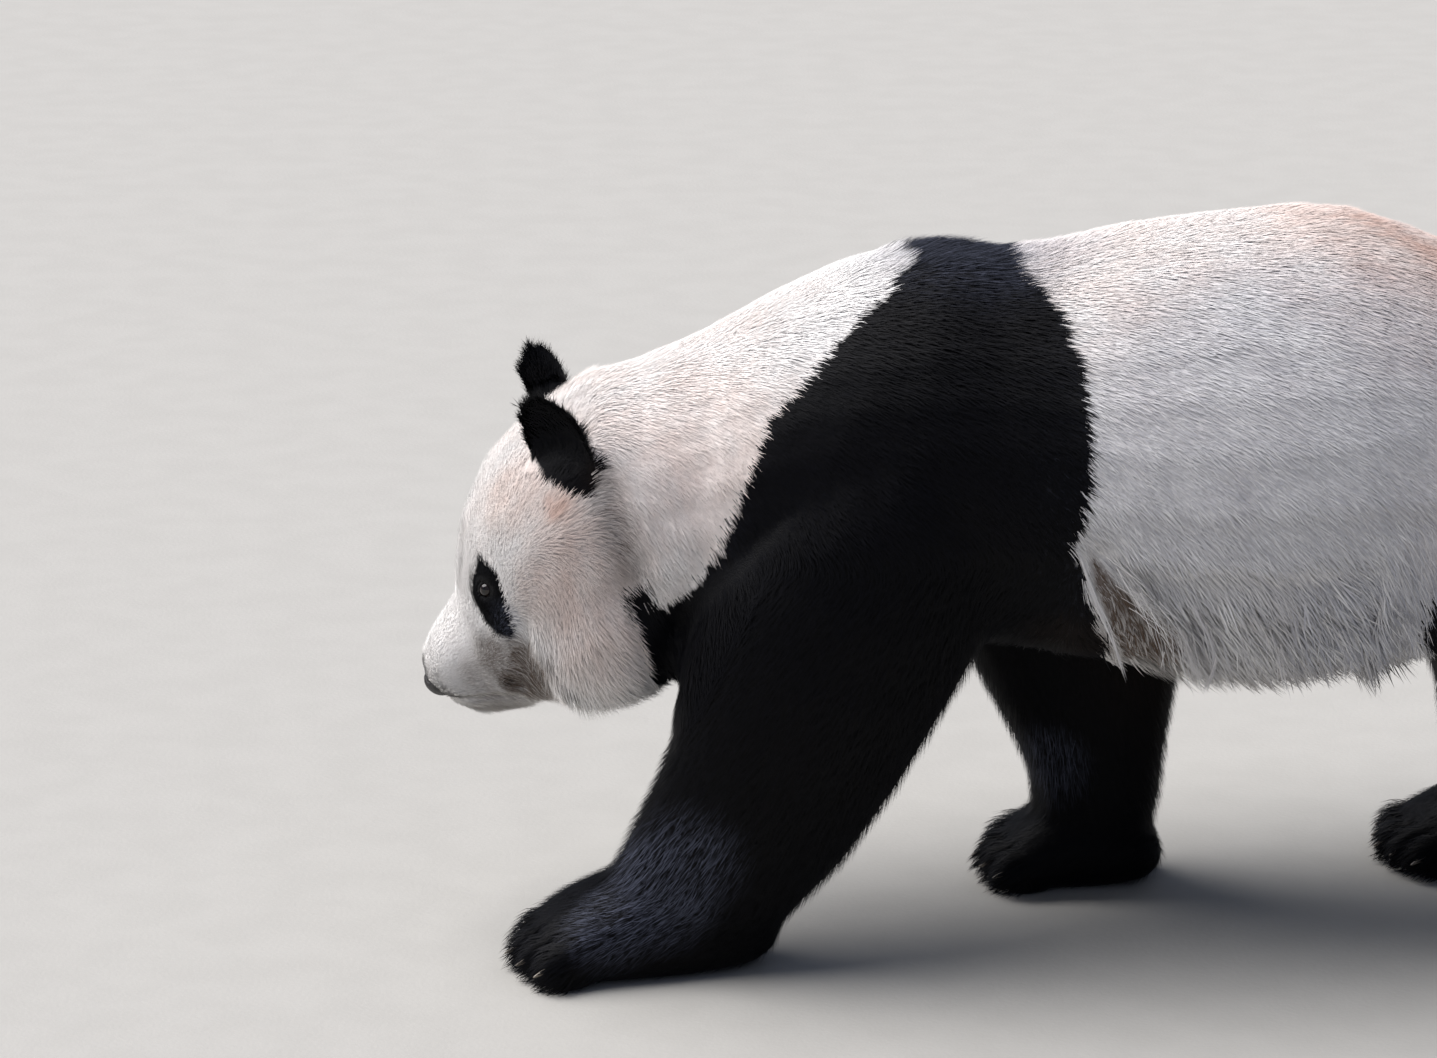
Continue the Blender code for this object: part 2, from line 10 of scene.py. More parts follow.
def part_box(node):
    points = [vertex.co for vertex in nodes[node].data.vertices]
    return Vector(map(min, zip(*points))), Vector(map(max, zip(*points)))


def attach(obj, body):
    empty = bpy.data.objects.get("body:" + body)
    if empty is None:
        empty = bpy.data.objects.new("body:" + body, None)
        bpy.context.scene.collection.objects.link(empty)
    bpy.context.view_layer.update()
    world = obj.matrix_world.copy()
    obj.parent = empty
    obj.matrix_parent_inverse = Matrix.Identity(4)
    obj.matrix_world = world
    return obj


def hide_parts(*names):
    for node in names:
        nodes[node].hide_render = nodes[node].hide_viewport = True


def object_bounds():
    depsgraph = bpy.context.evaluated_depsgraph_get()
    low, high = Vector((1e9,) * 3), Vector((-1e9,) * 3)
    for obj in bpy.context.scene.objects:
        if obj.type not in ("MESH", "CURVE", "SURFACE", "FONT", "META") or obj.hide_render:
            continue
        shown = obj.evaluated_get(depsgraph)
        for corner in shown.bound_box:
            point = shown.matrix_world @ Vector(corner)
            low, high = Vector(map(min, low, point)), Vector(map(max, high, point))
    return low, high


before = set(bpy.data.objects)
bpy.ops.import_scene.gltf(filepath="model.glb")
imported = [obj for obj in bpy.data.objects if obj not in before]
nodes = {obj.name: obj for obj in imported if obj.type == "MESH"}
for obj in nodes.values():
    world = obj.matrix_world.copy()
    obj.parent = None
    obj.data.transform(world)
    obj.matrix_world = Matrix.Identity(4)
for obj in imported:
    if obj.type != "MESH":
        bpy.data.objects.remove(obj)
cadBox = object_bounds()
print("frame loaded:", len(nodes), "nodes")


# Small helpers
def deselectAll():
    bpy.ops.object.select_all(action="DESELECT")


def activate(piece):
    deselectAll()
    piece.select_set(True)
    bpy.context.view_layer.objects.active = piece


def applyModifier(piece, kind, **settings):
    activate(piece)
    modifier = piece.modifiers.new(kind.lower(), kind)
    for key, value in settings.items():
        setattr(modifier, key, value)
    bpy.ops.object.modifier_apply(modifier=modifier.name)


def edited(piece, *steps):
    # edit mode steps on the whole mesh, each an operator and its settings
    activate(piece)
    bpy.ops.object.mode_set(mode="EDIT")
    bpy.ops.mesh.select_all(action="SELECT")
    for operator, settings in steps:
        operator(**settings)
    bpy.ops.object.mode_set(mode="OBJECT")


def packedCopy(name):
    copy = bpy.data.objects.new("copy", nodes[name].data.copy())
    bpy.context.scene.collection.objects.link(copy)
    return copy


def joined(newName, pieces, *steps):
    # one object of several, with the points that meet welded
    deselectAll()
    for piece in pieces:
        piece.select_set(True)
    bpy.context.view_layer.objects.active = pieces[-1]
    bpy.ops.object.join()
    whole = bpy.context.object
    whole.name = newName
    edited(whole, (bpy.ops.mesh.remove_doubles, {"threshold": 0.00001}), *steps)
    return whole


def lengthOf(vectors):
    return np.linalg.norm(vectors, axis=-1)


def unit(vectors):
    return vectors / np.maximum(lengthOf(vectors)[..., None], 1e-9)


def dots(a, b):
    return (a * b).sum(axis=-1, keepdims=True)


def squareTo(axes, vectors):
    # the share of the vectors at right angles to the axes, at length 1
    return unit(vectors - axes * dots(vectors, axes))


def bell(distance, width):
    # 1 at no distance, falling to 0 within a few widths
    return np.exp(-(distance / width) ** 2)


def ease(values, low, high):
    # 0 at low, 1 at high, with soft ends
    share = np.clip((values - low) / (high - low), 0, 1)
    return share * share * (3 - 2 * share)


def wobble(points, size, seed):
    # three smooth random values from -1 to 1 at each point, in waves about size long
    rng = np.random.default_rng(seed)
    total = np.zeros((len(points), 3))
    for _ in range(7):
        wave = unit(rng.normal(size=(3, 3))) * rng.uniform(0.6, 1.5, (3, 1)) * 2 * math.pi / size
        total += np.sin(points @ wave.T + rng.uniform(0, 2 * math.pi, 3))
    return total / 4.2


def setPoints(mesh, points):
    mesh.vertices.foreach_set("co", points.astype(np.float32).ravel())


def readOut(items, key, width, kind=np.float32):
    flat = np.empty(len(items) * width, kind)
    items.foreach_get(key, flat)
    return flat.reshape(-1, width)


def pointsOf(mesh):
    return readOut(mesh.vertices, "co", 3).astype(float)


def normalsOf(mesh):
    return readOut(mesh.vertex_normals, "vector", 3).astype(float)


def edgesOf(mesh):
    return readOut(mesh.edges, "vertices", 2, np.int32)


def trianglesOf(mesh):
    mesh.calc_loop_triangles()
    return readOut(mesh.loop_triangles, "vertices", 3, np.int32)


def meshPiece(name, points, triangles):
    mesh = bpy.data.meshes.new(name)
    mesh.vertices.add(len(points))
    setPoints(mesh, points)
    mesh.loops.add(triangles.size)
    mesh.loops.foreach_set("vertex_index", triangles.astype(np.int32).ravel())
    mesh.polygons.add(len(triangles))
    mesh.polygons.foreach_set("loop_start", np.arange(0, triangles.size, 3, dtype=np.int32))
    mesh.update(calc_edges=True)
    piece = bpy.data.objects.new(name, mesh)
    bpy.context.scene.collection.objects.link(piece)
    return piece


def keepFields(mesh, repeats=1, **fields):
    # named values for the paint to read, each repeated over so many points
    for name, values in fields.items():
        layer = mesh.attributes.new(name, "FLOAT", "POINT")
        layer.data.foreach_set("value", np.repeat(np.asarray(values, np.float32), repeats))


def middle(name):
    low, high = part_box(name)
    return np.array((low + high) / 2)


def within(name, shares):
    # a place in a node's box, each share from 0 to 1
    low, high = (np.array(corner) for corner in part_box(name))
    return low + (high - low) * shares


def clawsOf(leg):
    return [f"{leg}_claw_{number}" for number in range(1, 6)]


def finished(piece, paint, slotName, *replaced):
    piece.data.materials.clear()
    piece.data.materials.append(paint)
    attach(piece, "root")
    if replaced:
        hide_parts(*replaced)


# Materials are built through Paint, which hands out its sockets as Wires
def tone(red, green, blue):
    # a screen colour from 0 to 255 as the light it stands for
    values = [c / 255 for c in (red, green, blue)]
    return (*[v / 12.92 if v <= 0.04045 else ((v + 0.055) / 1.055) ** 2.4 for v in values], 1.0)


def mathsOf(operation, turned=False):
    def method(self, other):
        first, second = (other, self) if turned else (self, other)
        return self.paint.maths(operation, first, second)
    return method


class Wire:
    # one output socket; the operators add Math nodes behind it
    def __init__(self, paint, socket):
        self.paint = paint
        self.socket = socket

    __add__ = __radd__ = mathsOf("ADD")
    __sub__ = mathsOf("SUBTRACT")
    __rsub__ = mathsOf("SUBTRACT", True)
    __mul__ = __rmul__ = mathsOf("MULTIPLY")
    __truediv__ = mathsOf("DIVIDE")
    __pow__ = mathsOf("POWER")


class Paint:
    # a material under way
    def __init__(self, name):
        self.material = bpy.data.materials.new(name)
        self.material.use_nodes = True
        self.tree = self.material.node_tree
        self.tree.nodes.clear()

    def node(self, kind, settings=None, values=None, output=0):
        made = self.tree.nodes.new("ShaderNode" + kind)
        for key, value in (settings or {}).items():
            setattr(made, key, value)
        for key, value in (values or {}).items():
            if isinstance(value, Wire):
                self.tree.links.new(value.socket, made.inputs[key])
            else:
                made.inputs[key].default_value = value
        if made.outputs:
            return Wire(self, made.outputs[output])

    def maths(self, operation, first, second):
        return self.node("Math", {"operation": operation}, {0: first, 1: second})

    def mix(self, share, first, second):
        return self.node("Mix", {"data_type": "RGBA"}, {0: share, 6: first, 7: second}, 2)

    def value(self, name):
        return self.node("Attribute", {"attribute_name": name}, {}, 2)

    def place(self):
        return self.node("TexCoord", {}, {}, 3)

    def noise(self, scale, detail=2.0, where=None):
        where = where or self.place()
        return self.node("TexNoise", {}, {"Vector": where, "Scale": scale, "Detail": detail})

    def soft(self, value, low, high):
        return self.node("MapRange", {"interpolation_type": "SMOOTHSTEP"},
                         {"Value": value, "From Min": low, "From Max": high})

    def bump(self, height, distance, strength=1.0):
        return self.node("Bump", {}, {"Height": height, "Distance": distance, "Strength": strength})

    def finish(self, **sockets):
        named = {key.replace("_", " "): value for key, value in sockets.items()}
        shader = self.node("BsdfPrincipled", {}, named)
        self.node("OutputMaterial", {}, {"Surface": shader})
        return self.material


# Camera, floor and light
def facing(direction):
    # the turn that points an object's own z this way
    return direction.to_track_quat("Z", "Y").to_euler()


cameraSetup = {
    "target": (-0.363, 0.0, 0.441),
    "azimuth": math.radians(-4),
    "elevation": math.radians(16),
    "distance": 6.0,
    "frameWidth": 1.509,     # what the frame spans at the target
    "sensor": 36.0,
}


def placeCamera():
    setup = cameraSetup
    turn = setup["azimuth"]
    rise = setup["elevation"]
    back = Vector((math.sin(turn) * math.cos(rise), -math.cos(turn) * math.cos(rise), math.sin(rise)))
    bpy.ops.object.camera_add(location=Vector(setup["target"]) + back * setup["distance"],
                              rotation=facing(back))
    camera = bpy.context.object
    camera.name = "camera"
    camera.data.sensor_width = setup["sensor"]
    camera.data.lens = setup["sensor"] * setup["distance"] / setup["frameWidth"]
    bpy.context.scene.camera = camera


studio = {
    "floorSize": 60.0,
    "floorTone": tone(174, 172, 166),
    "floorGrain": tone(171, 169, 163),
    "worldTone": tone(200, 213, 244),
    "worldStrength": 0.34,
    "sunFrom": (-0.7, 0.15, 1.15),
    "sunTone": tone(255, 252, 252),
    "sunWidth": math.radians(64),
    "sunStrength": 5.3,
}


def floorPaint():
    paint = Paint("studio_floor")
    grain = paint.noise(14.0, 4.0)
    colour = paint.mix(paint.soft(grain, 0.3, 0.7), studio["floorGrain"], studio["floorTone"])
    return paint.finish(Base_Color=colour, Roughness=0.85, Normal=paint.bump(paint.noise(160.0), 0.0004))


def placeStudio():
    deselectAll()
    bpy.ops.mesh.primitive_plane_add(size=studio["floorSize"])
    floor = bpy.context.object
    floor.name = "studio_floor"
    floor.data.materials.append(floorPaint())
    above = Vector(studio["sunFrom"])
    bpy.ops.object.light_add(type="SUN", location=above * 3, rotation=facing(above))
    lamp = bpy.context.object
    lamp.name = "overhead"
    lamp.data.angle = studio["sunWidth"]
    lamp.data.energy = studio["sunStrength"]
    lamp.data.color = studio["sunTone"][:3]
    world = bpy.data.worlds.new("studio")
    world.use_nodes = True
    sky = world.node_tree.nodes["Background"].inputs
    sky["Color"].default_value = studio["worldTone"]
    sky["Strength"].default_value = studio["worldStrength"]
    bpy.context.scene.world = world
    bpy.context.scene.view_settings.view_transform = "Standard"


placeCamera()
placeStudio()
print("camera and studio placed")


# The places that the coat and the face are laid out from
eyeRadius = (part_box("eye_left")[1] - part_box("eye_left")[0]).z / 2
eyeSides = {"left": -1, "right": 1}
eyeCentres = {side: middle("eye_" + side) for side in eyeSides}
eyeGaze = {side: unit(np.array([-0.5, sign * 0.86, -0.04])) for side, sign in eyeSides.items()}
noseCentre = middle("nose")
crownHeight = cadBox[1].z

fleshNames = [name for name in nodes if "claw" not in name and "eye" not in name and name != "nose"]
legNames = ["foreleg_left", "foreleg_right", "hindleg_left", "hindleg_right"]
faceKinds = ("head", "muzzle", "jaw")


def kindOf(name):
    # head, ear, upper, lower, paw and so on
    return "ear" if name.startswith("ear") else name.split("_")[-1]


def treeOf(names):
    corners = []
    faces = []
    owners = []
    for name in names:
        mesh = nodes[name].data
        start = len(corners)
        corners += [tuple(p) for p in pointsOf(mesh)]
        faces += [tuple(int(i) + start for i in t) for t in trianglesOf(mesh)]
        owners += [name] * (len(faces) - len(owners))
    return BVHTree.FromPolygons(corners, faces), owners


def nearestNames(points):
    tree, owners = treeOf(fleshNames)
    return np.array([owners[tree.find_nearest(Vector(p))[2]] for p in points])


def distancesTo(name, points):
    tree, _ = treeOf([name])
    return np.array([tree.find_nearest(Vector(p))[3] for p in points])


# The skin: all the flesh as one closed surface, finer round the face
skinSize = {
    "fatten": 0.0004,      # closes the thin cuts between the solids
    "voxel": 0.0062,
    "smoothing": 6,
    "faceReach": 0.06,     # twice as fine this near to an eye, the nose or the mouth
    "mouthWidth": 0.0034,
    "mouthDepth": 0.0042,
    "partingWidth": 0.0018,          # of the upper lip under the nose
    "partingEnds": (0.02, 0.035),    # behind the nose's middle
    "partingShare": 0.5,
    "corner": ((-0.583, -0.087, 0.297), 0.01, 0.0055),    # of the mouth: place, width, depth
    "cleftStart": (-0.02, 0.004),    # of a cleft between two toes, from the claws backwards
    "cleftEnd": (0.0136, 0.034),
    "cleftTop": (0.05, 0.075),
    "cleftWidth": 0.0048,
    "cleftDepth": 0.009,
    "eyeRoom": 1.24,       # in eyeball radii: closer than this the skin falls back
    "eyeSink": 0.78,
    "bareEye": (0.0155, 0.0175),     # no hair closer than this to an eye
    "noseRoom": (0.015, 0.0225, 0.0135),
    "noseSink": 0.8,
    "soleHeight": 0.01,
    "soleFacing": -0.55,   # how squarely a bare sole faces down
}

# Folds of the left side, mirrored on the right, as (path, width, depth)
folds = [
    ([(-0.488, -0.14, 0.52), (-0.476, -0.152, 0.49), (-0.464, -0.155, 0.45), (-0.45, -0.152, 0.38),
      (-0.436, -0.135, 0.325)], 0.024, 0.0085),
    ([(-0.612, -0.072, 0.372), (-0.598, -0.094, 0.345), (-0.583, -0.104, 0.318)], 0.014, 0.0025),
    ([(0.004, -0.25, 0.47), (0.032, -0.243, 0.418), (0.058, -0.228, 0.378), (0.078, -0.2, 0.34)],
     0.023, 0.016),
]
ruffEdge = [(0.292, -0.524), (0.312, -0.541), (0.34, -0.557), (0.364, -0.568)]   # height, x
ruffStep = {"ahead": 0.0065, "aheadWidth": 0.022, "behind": 0.004, "behindWidth": 0.016,
            "slope": 0.009, "aside": -0.116, "core": 0.006, "cheekFrom": (0.05, 0.09)}


def joinedFlesh():
    copies = [packedCopy(name) for name in fleshNames + ["eye_left", "eye_right", "nose"]]
    skin = joined("skin", copies, (bpy.ops.transform.shrink_fatten, {"value": skinSize["fatten"]}))
    applyModifier(skin, "REMESH", mode="VOXEL", voxel_size=skinSize["voxel"])
    applyModifier(skin, "SMOOTH", factor=0.5, iterations=skinSize["smoothing"])
    return skin


def refineFace(skin):
    points = pointsOf(skin.data)
    marks = [noseCentre, middle("jaw"), *eyeCentres.values()]
    near = np.min([lengthOf(points - place) for place in marks], axis=0) < skinSize["faceReach"]
    edited(skin, (bpy.ops.mesh.select_mode, {"type": "VERT"}),
           (bpy.ops.mesh.select_all, {"action": "DESELECT"}))
    skin.data.vertices.foreach_set("select", near)
    bpy.ops.object.mode_set(mode="EDIT")
    bpy.ops.mesh.select_mode(type="FACE")
    bpy.ops.mesh.subdivide(number_cuts=1)
    bpy.ops.object.mode_set(mode="OBJECT")
    edited(skin, (bpy.ops.mesh.quads_convert_to_tris, {}))
    applyModifier(skin, "SMOOTH", factor=0.5, iterations=1)


# Coat of each kind of part: how deep it stands, how long its tufts are, how wide at the root
coatOf = {
    "muzzle": (0.003, 0.01, 0.0009),
    "jaw": (0.0036, 0.013, 0.001),
    "head": (0.0058, 0.0155, 0.001),
    "ear": (0.0042, 0.013, 0.0011),
    "neck": (0.0038, 0.019, 0.0017),
    "chest": (0.005, 0.0215, 0.0019),
    "belly": (0.004, 0.0205, 0.0019),
    "rump": (0.0046, 0.0215, 0.002),
    "tail": (0.009, 0.028, 0.0018),
    "upper": (0.0082, 0.023, 0.0015),
    "lower": (0.0082, 0.024, 0.0015),
    "paw": (0.005, 0.018, 0.0013),
}


def relaxed(values, edges, times):
    # each point's values drawn towards its neighbours' again and again
    count = np.bincount(edges.ravel(), minlength=len(values))[:, None].clip(1)
    for _ in range(times):
        total = np.stack([
            np.bincount(edges[:, 0], values[edges[:, 1], column], len(values))
            + np.bincount(edges[:, 1], values[edges[:, 0], column], len(values))
            for column in range(values.shape[1])], axis=1)
        values = 0.5 * values + 0.5 * total / count
    return values


def nearness(points, place, full, gone):
    # 1 closer than full, 0 beyond gone
    return 1 - ease(lengthOf(points - place), full, gone)


def bothSides(place):
    return [np.array([place[0], side * abs(place[1]), place[2]]) for side in (-1, 1)]


# Stretches with a coat of their own, in the same three sizes, and where they begin and end
coatAreas = {
    "ruff": (0.0085, 0.025, 0.0012),
    "brow": (0.0042, 0.012, 0.0009),
    "fringe": (0.021, 0.042, 0.0019),
    "eye": (0.0016, 0.0048, 0.0008),
    "nose": (0.001, 0.0045, 0.0007),
    "cheekStart": (-0.6, -0.54),
    "ruffTop": (0.34, 0.44),
    "browFoot": (0.4, 0.46),
    "fringeStart": (-0.02, 0.06),
    "fringeFacing": (-0.25, 0.75),   # how far the skin faces down
    "eyeReach": (0.014, 0.034),
    "noseReach": (0.02, 0.045),
    "soleTop": (0.004, 0.03),
    "soleFacing": (0.2, 0.9),
}


def coatSizes(points, normals, names, edges):
    kinds = np.array([kindOf(name) for name in names])
    depth, length, width = relaxed(np.array([coatOf[kind] for kind in kinds]), edges, 26).T.copy()
    x, _, z = points.T
    down = -normals[:, 2]

    def shareOf(*wanted):
        return ease(relaxed(np.isin(kinds, wanted).astype(float)[:, None], edges, 6)[:, 0], 0.2, 0.8)

    def blend(share, area):
        for sizes, new in zip((depth, length, width), coatAreas[area]):
            sizes += (new - sizes) * share

    head = shareOf("head")
    cheek = ease(x, *coatAreas["cheekStart"])
    blend(head * cheek * (1 - ease(z, *coatAreas["ruffTop"])), "ruff")
    blend(head * (1 - cheek) * ease(z, *coatAreas["browFoot"]), "brow")
    below = ease(down, *coatAreas["fringeFacing"])
    blend(shareOf("belly", "chest") * below * ease(x, *coatAreas["fringeStart"]), "fringe")
    for centre in eyeCentres.values():
        blend(nearness(points, centre, *coatAreas["eyeReach"]), "eye")
    blend(nearness(points, noseCentre, *coatAreas["noseReach"]), "nose")
    depth *= 1 - (1 - ease(z, *coatAreas["soleTop"])) * ease(down, *coatAreas["soleFacing"])
    return depth, length, width


def carveMouth(points, normals):
    # the closed lips: a groove where the jaw meets the muzzle and the cheeks
    lips = np.maximum(distancesTo("jaw", points), distancesTo("muzzle", points))
    groove = bell(lips, skinSize["mouthWidth"])
    start, end = skinSize["partingEnds"]
    front = 1 - ease(points[:, 0], noseCentre[0] + start, noseCentre[0] + end)
    below = (points[:, 2] < noseCentre[2]) * front
    parting = bell(points[:, 1], skinSize["partingWidth"]) * below * skinSize["partingShare"]
    groove = np.maximum(groove, parting)
    return points - normals * (groove * skinSize["mouthDepth"])[:, None], groove


def toSegment(points, start, end):
    way = end - start
    share = np.clip((points - start) @ way / (way @ way), 0, 1)
    return lengthOf(points - start - share[:, None] * way)


def distanceToPath(points, path):
    path = np.array(path)
    return np.min([toSegment(points, start, end) for start, end in zip(path, path[1:])], axis=0)


def leftSide(points):
    return points * (1, 0, 1) - np.abs(points * (0, 1, 0))


def ruffDistance(points):
    return distanceToPath(leftSide(points), [(x, ruffStep["aside"], z) for z, x in ruffEdge])


def ruffAhead(points):
    # how far behind the ruff's edge each point lies
    return points[:, 0] - np.interp(points[:, 2], [p[0] for p in ruffEdge], [p[1] for p in ruffEdge])


def foldSkin(points, normals):
    # positive moves in; the ruff of the cheek stands over the hollow behind the muzzle
    left = leftSide(points)
    inward = np.zeros(len(points))
    for path, width, depth in folds:
        inward += depth * bell(distanceToPath(left, path), width)
    place, width, depth = skinSize["corner"]
    inward += depth * bell(lengthOf(left - np.array(place)), width)
    ahead = ruffAhead(points)
    far = np.maximum(np.abs(ahead), ruffDistance(points) - ruffStep["core"])
    side = ease(ahead, -ruffStep["slope"], ruffStep["slope"])
    onCheek = ease(-left[:, 1], *ruffStep["cheekFrom"])
    inward += onCheek * (1 - side) * ruffStep["ahead"] * bell(far, ruffStep["aheadWidth"])
    inward -= onCheek * side * ruffStep["behind"] * bell(far, ruffStep["behindWidth"])
    return points - normals * inward[:, None]


def partToes(points, normals):
    # a cleft runs back over the paw between each two claws
    inward = np.zeros(len(points))
    low = 1 - ease(points[:, 2], *skinSize["cleftTop"])
    for leg in legNames:
        places = sorted((middle(name) for name in clawsOf(leg)), key=lambda p: p[1])
        for first, second in zip(places, places[1:]):
            between = (first + second) / 2
            back = points[:, 0] - between[0]
            run = ease(back, *skinSize["cleftStart"]) * (1 - ease(back, *skinSize["cleftEnd"]))
            cleft = bell(points[:, 1] - between[1], skinSize["cleftWidth"]) * run * low
            inward = np.maximum(inward, cleft * skinSize["cleftDepth"])
    return points - normals * inward[:, None]


def clearEyes(points):
    # under the lids the skin falls back behind the eyeball
    for centre in eyeCentres.values():
        away = points - centre
        inside = lengthOf(away) < skinSize["eyeRoom"] * eyeRadius
        points[inside] = centre + away[inside] * skinSize["eyeSink"]
    return points


lidSize = {
    "opening": (0.0086, 0.0056),   # half its length and height
    "slant": (0.35, 0.2, 0.92),    # the long way of the opening, for the right eye
    "rings": [(1.0, 0.955), (1.0, 1.045), (1.14, 1.115), (1.38, 1.12), (1.75, 1.075)],
    "dome": [(1.25, 1.02), (1.62, 0.9)],    # turn from the gaze, distance in eyeball radii
    "points": 44,
    "pinch": 0.22,         # how far the opening narrows towards its corners
    "fields": (1.0, 0.0, 0.0, 0.0, 0.2, 0.3),   # what the paint reads, in the order of coatFields
}


def lidRings(side):
    centre = eyeCentres[side]
    gaze = eyeGaze[side]
    slant = np.array(lidSize["slant"]) * (1, eyeSides[side], 1)
    slant = unit(slant - gaze * (slant @ gaze))
    across = np.cross(gaze, slant)
    turns = np.linspace(0, 2 * math.pi, lidSize["points"], endpoint=False)
    rounds = np.cos(turns)[:, None] * slant + np.sin(turns)[:, None] * across
    rings = []
    for scale, distance in lidSize["rings"]:
        half, tall = (v * scale / eyeRadius for v in lidSize["opening"])
        almond = np.cos(turns)[:, None] * slant * half
        rise = np.sin(turns) * (1 - lidSize["pinch"] * np.cos(turns) ** 2)
        almond = almond + rise[:, None] * across * tall
        ahead = np.sqrt(np.clip(1 - dots(almond, almond), 0.02, 1))
        rings.append(centre + unit(almond + gaze * ahead) * eyeRadius * distance)
    for turn, distance in lidSize["dome"]:
        rings.append(centre + (gaze * math.cos(turn) + rounds * math.sin(turn)) * eyeRadius * distance)
    return rings


def makeLids(side):
    rings = lidRings(side)
    count = lidSize["points"]
    faces = []
    for k in range(len(rings) - 1):
        for i in range(count):
            j = (i + 1) % count
            a, b, c, d = k * count + i, k * count + j, (k + 1) * count + j, (k + 1) * count + i
            faces += [(a, d, c), (a, c, b)]
    lids = meshPiece("lids_" + side, np.concatenate(rings), np.array(faces))
    edited(lids, (bpy.ops.mesh.normals_make_consistent, {"inside": False}))
    outward = normalsOf(lids.data)[2 * count:3 * count] @ eyeGaze[side]
    if outward.mean() < 0:
        lids.data.flip_normals()
    return lids


# Markings: a signed distance, black above zero. The skin and every tuft take theirs from here.
marking = {
    "front": ((0.38, -0.6), (0.392, -0.5), (0.397, -0.43), (0.41, -0.41), (0.433, -0.392),
              (0.5, -0.362), (0.6, -0.32), (0.69, -0.232), (0.735, -0.165)),   # height, x
    "rear": ((0.3, 0.052), (0.335, 0.034), (0.4, 0.01), (0.44, -0.006), (0.48, -0.013), (0.53, -0.004),
             (0.58, 0.001), (0.66, -0.006), (0.7, -0.018), (0.74, -0.058)),
    "thighTop": ((0.34, 0.4), (0.38, 0.43), (0.44, 0.48), (0.5, 0.5), (0.56, 0.47), (0.62, 0.4)),
    "thighFront": 0.35,
    "thighLean": (0.36, 0.05, 0.8),    # from this height down, over this much, by this share
    "waves": ((0.05, 0.0045, 21), (0.013, 0.0022, 22)),    # length, reach and seed of the edges' waves
    "smallWave": 0.25,     # share of them on the patches and the ears' feet
    "limbEdge": (0.5, 0.08),
    "earEdge": (0.4, 0.03),
    "patch": ((-0.616, 0.442), (-0.624, 0.415), (-0.624, 0.397), (-0.612, 0.369), (-0.6, 0.36),
              (-0.586, 0.359), (-0.579, 0.366), (-0.587, 0.396), (-0.597, 0.426)),   # x, height
    "patchFrom": 0.068,    # how far off the middle plane a patch starts
    "eyeRing": 0.013,
    "throat": [(-0.453, -0.152, 0.408), (-0.447, -0.151, 0.392), (-0.44, -0.15, 0.376)],
    "throatWidth": 0.018,
    "mouthCorner": (-0.5865, -0.0865, 0.3),
    "cornerSize": 0.0085,
    "lips": [(-0.603, -0.072, 0.29), (-0.597, -0.078, 0.292), (-0.587, -0.086, 0.299)],
    "lipWidth": 0.004,
    "earFoot": ((-0.572, 0.59), (-0.567, 0.562), (-0.559, 0.543), (-0.55, 0.529), (-0.52, 0.518),
                (-0.5, 0.515), (-0.495, 0.535), (-0.504, 0.58)),   # x, height
    "earFootFrom": {"left": 0.084, "right": 0.066},
    "tipShare": 0.6,       # a tuft takes the mark that its tip lies over
}


def along(outline, values):
    return np.interp(values, [p[0] for p in outline], [p[1] for p in outline])


def outlineDistance(points, corners):
    # how far inside an outline drawn from the side each point lies, negative outside
    flat = points[:, [0, 2]]
    corners = np.array(corners)
    nearest = np.full(len(flat), np.inf)
    inside = np.zeros(len(flat), bool)
    for start, end in zip(corners, np.roll(corners, -1, axis=0)):
        edge = end - start
        nearest = np.minimum(nearest, toSegment(flat, start, end))
        spans = (start[1] > flat[:, 1]) != (end[1] > flat[:, 1])
        inside ^= spans & (flat[:, 0] < start[0] + edge[0] * (flat[:, 1] - start[1]) / (edge[1] or 1))
    return np.where(inside, nearest, -nearest)


def markedFrom(points, outline, least):
    # an outline of black on each side, off the middle plane
    return np.minimum(outlineDistance(points, outline), np.abs(points[:, 1]) - least)


def blackness(points, fore, low, ear, head):
    x, _, z = points.T
    wave = sum(wobble(points, size, seed)[:, 0] * reach for size, reach, seed in marking["waves"])
    smallWave = wave * marking["smallWave"]
    band = np.minimum(x - along(marking["front"], z), along(marking["rear"], z) - x)
    band = np.where(head > 0.5, -1, band)
    top, deep, lean = marking["thighLean"]
    thigh = np.minimum(along(marking["thighTop"], x) - z,
                       x - marking["thighFront"] - lean * np.clip(top - z, 0, deep))
    middleShare, reach = marking["limbEdge"]
    limbs = (np.maximum(fore, low) - middleShare) * reach
    middleShare, reach = marking["earEdge"]
    ears = (ear - middleShare) * reach
    footFrom = np.where(points[:, 1] < 0, marking["earFootFrom"]["left"], marking["earFootFrom"]["right"])
    left = leftSide(points)
    return np.max([
        np.max([band, thigh, limbs], axis=0) + wave,
        markedFrom(points, marking["patch"], marking["patchFrom"]) + smallWave,
        markedFrom(points, marking["earFoot"], footFrom) + smallWave,
        *[marking["eyeRing"] - lengthOf(points - centre) for centre in eyeCentres.values()],
        marking["throatWidth"] - distanceToPath(left, marking["throat"]),
        marking["cornerSize"] - lengthOf(left - np.array(marking["mouthCorner"])),
        marking["lipWidth"] - distanceToPath(left, marking["lips"]),
        ears,
    ], axis=0)


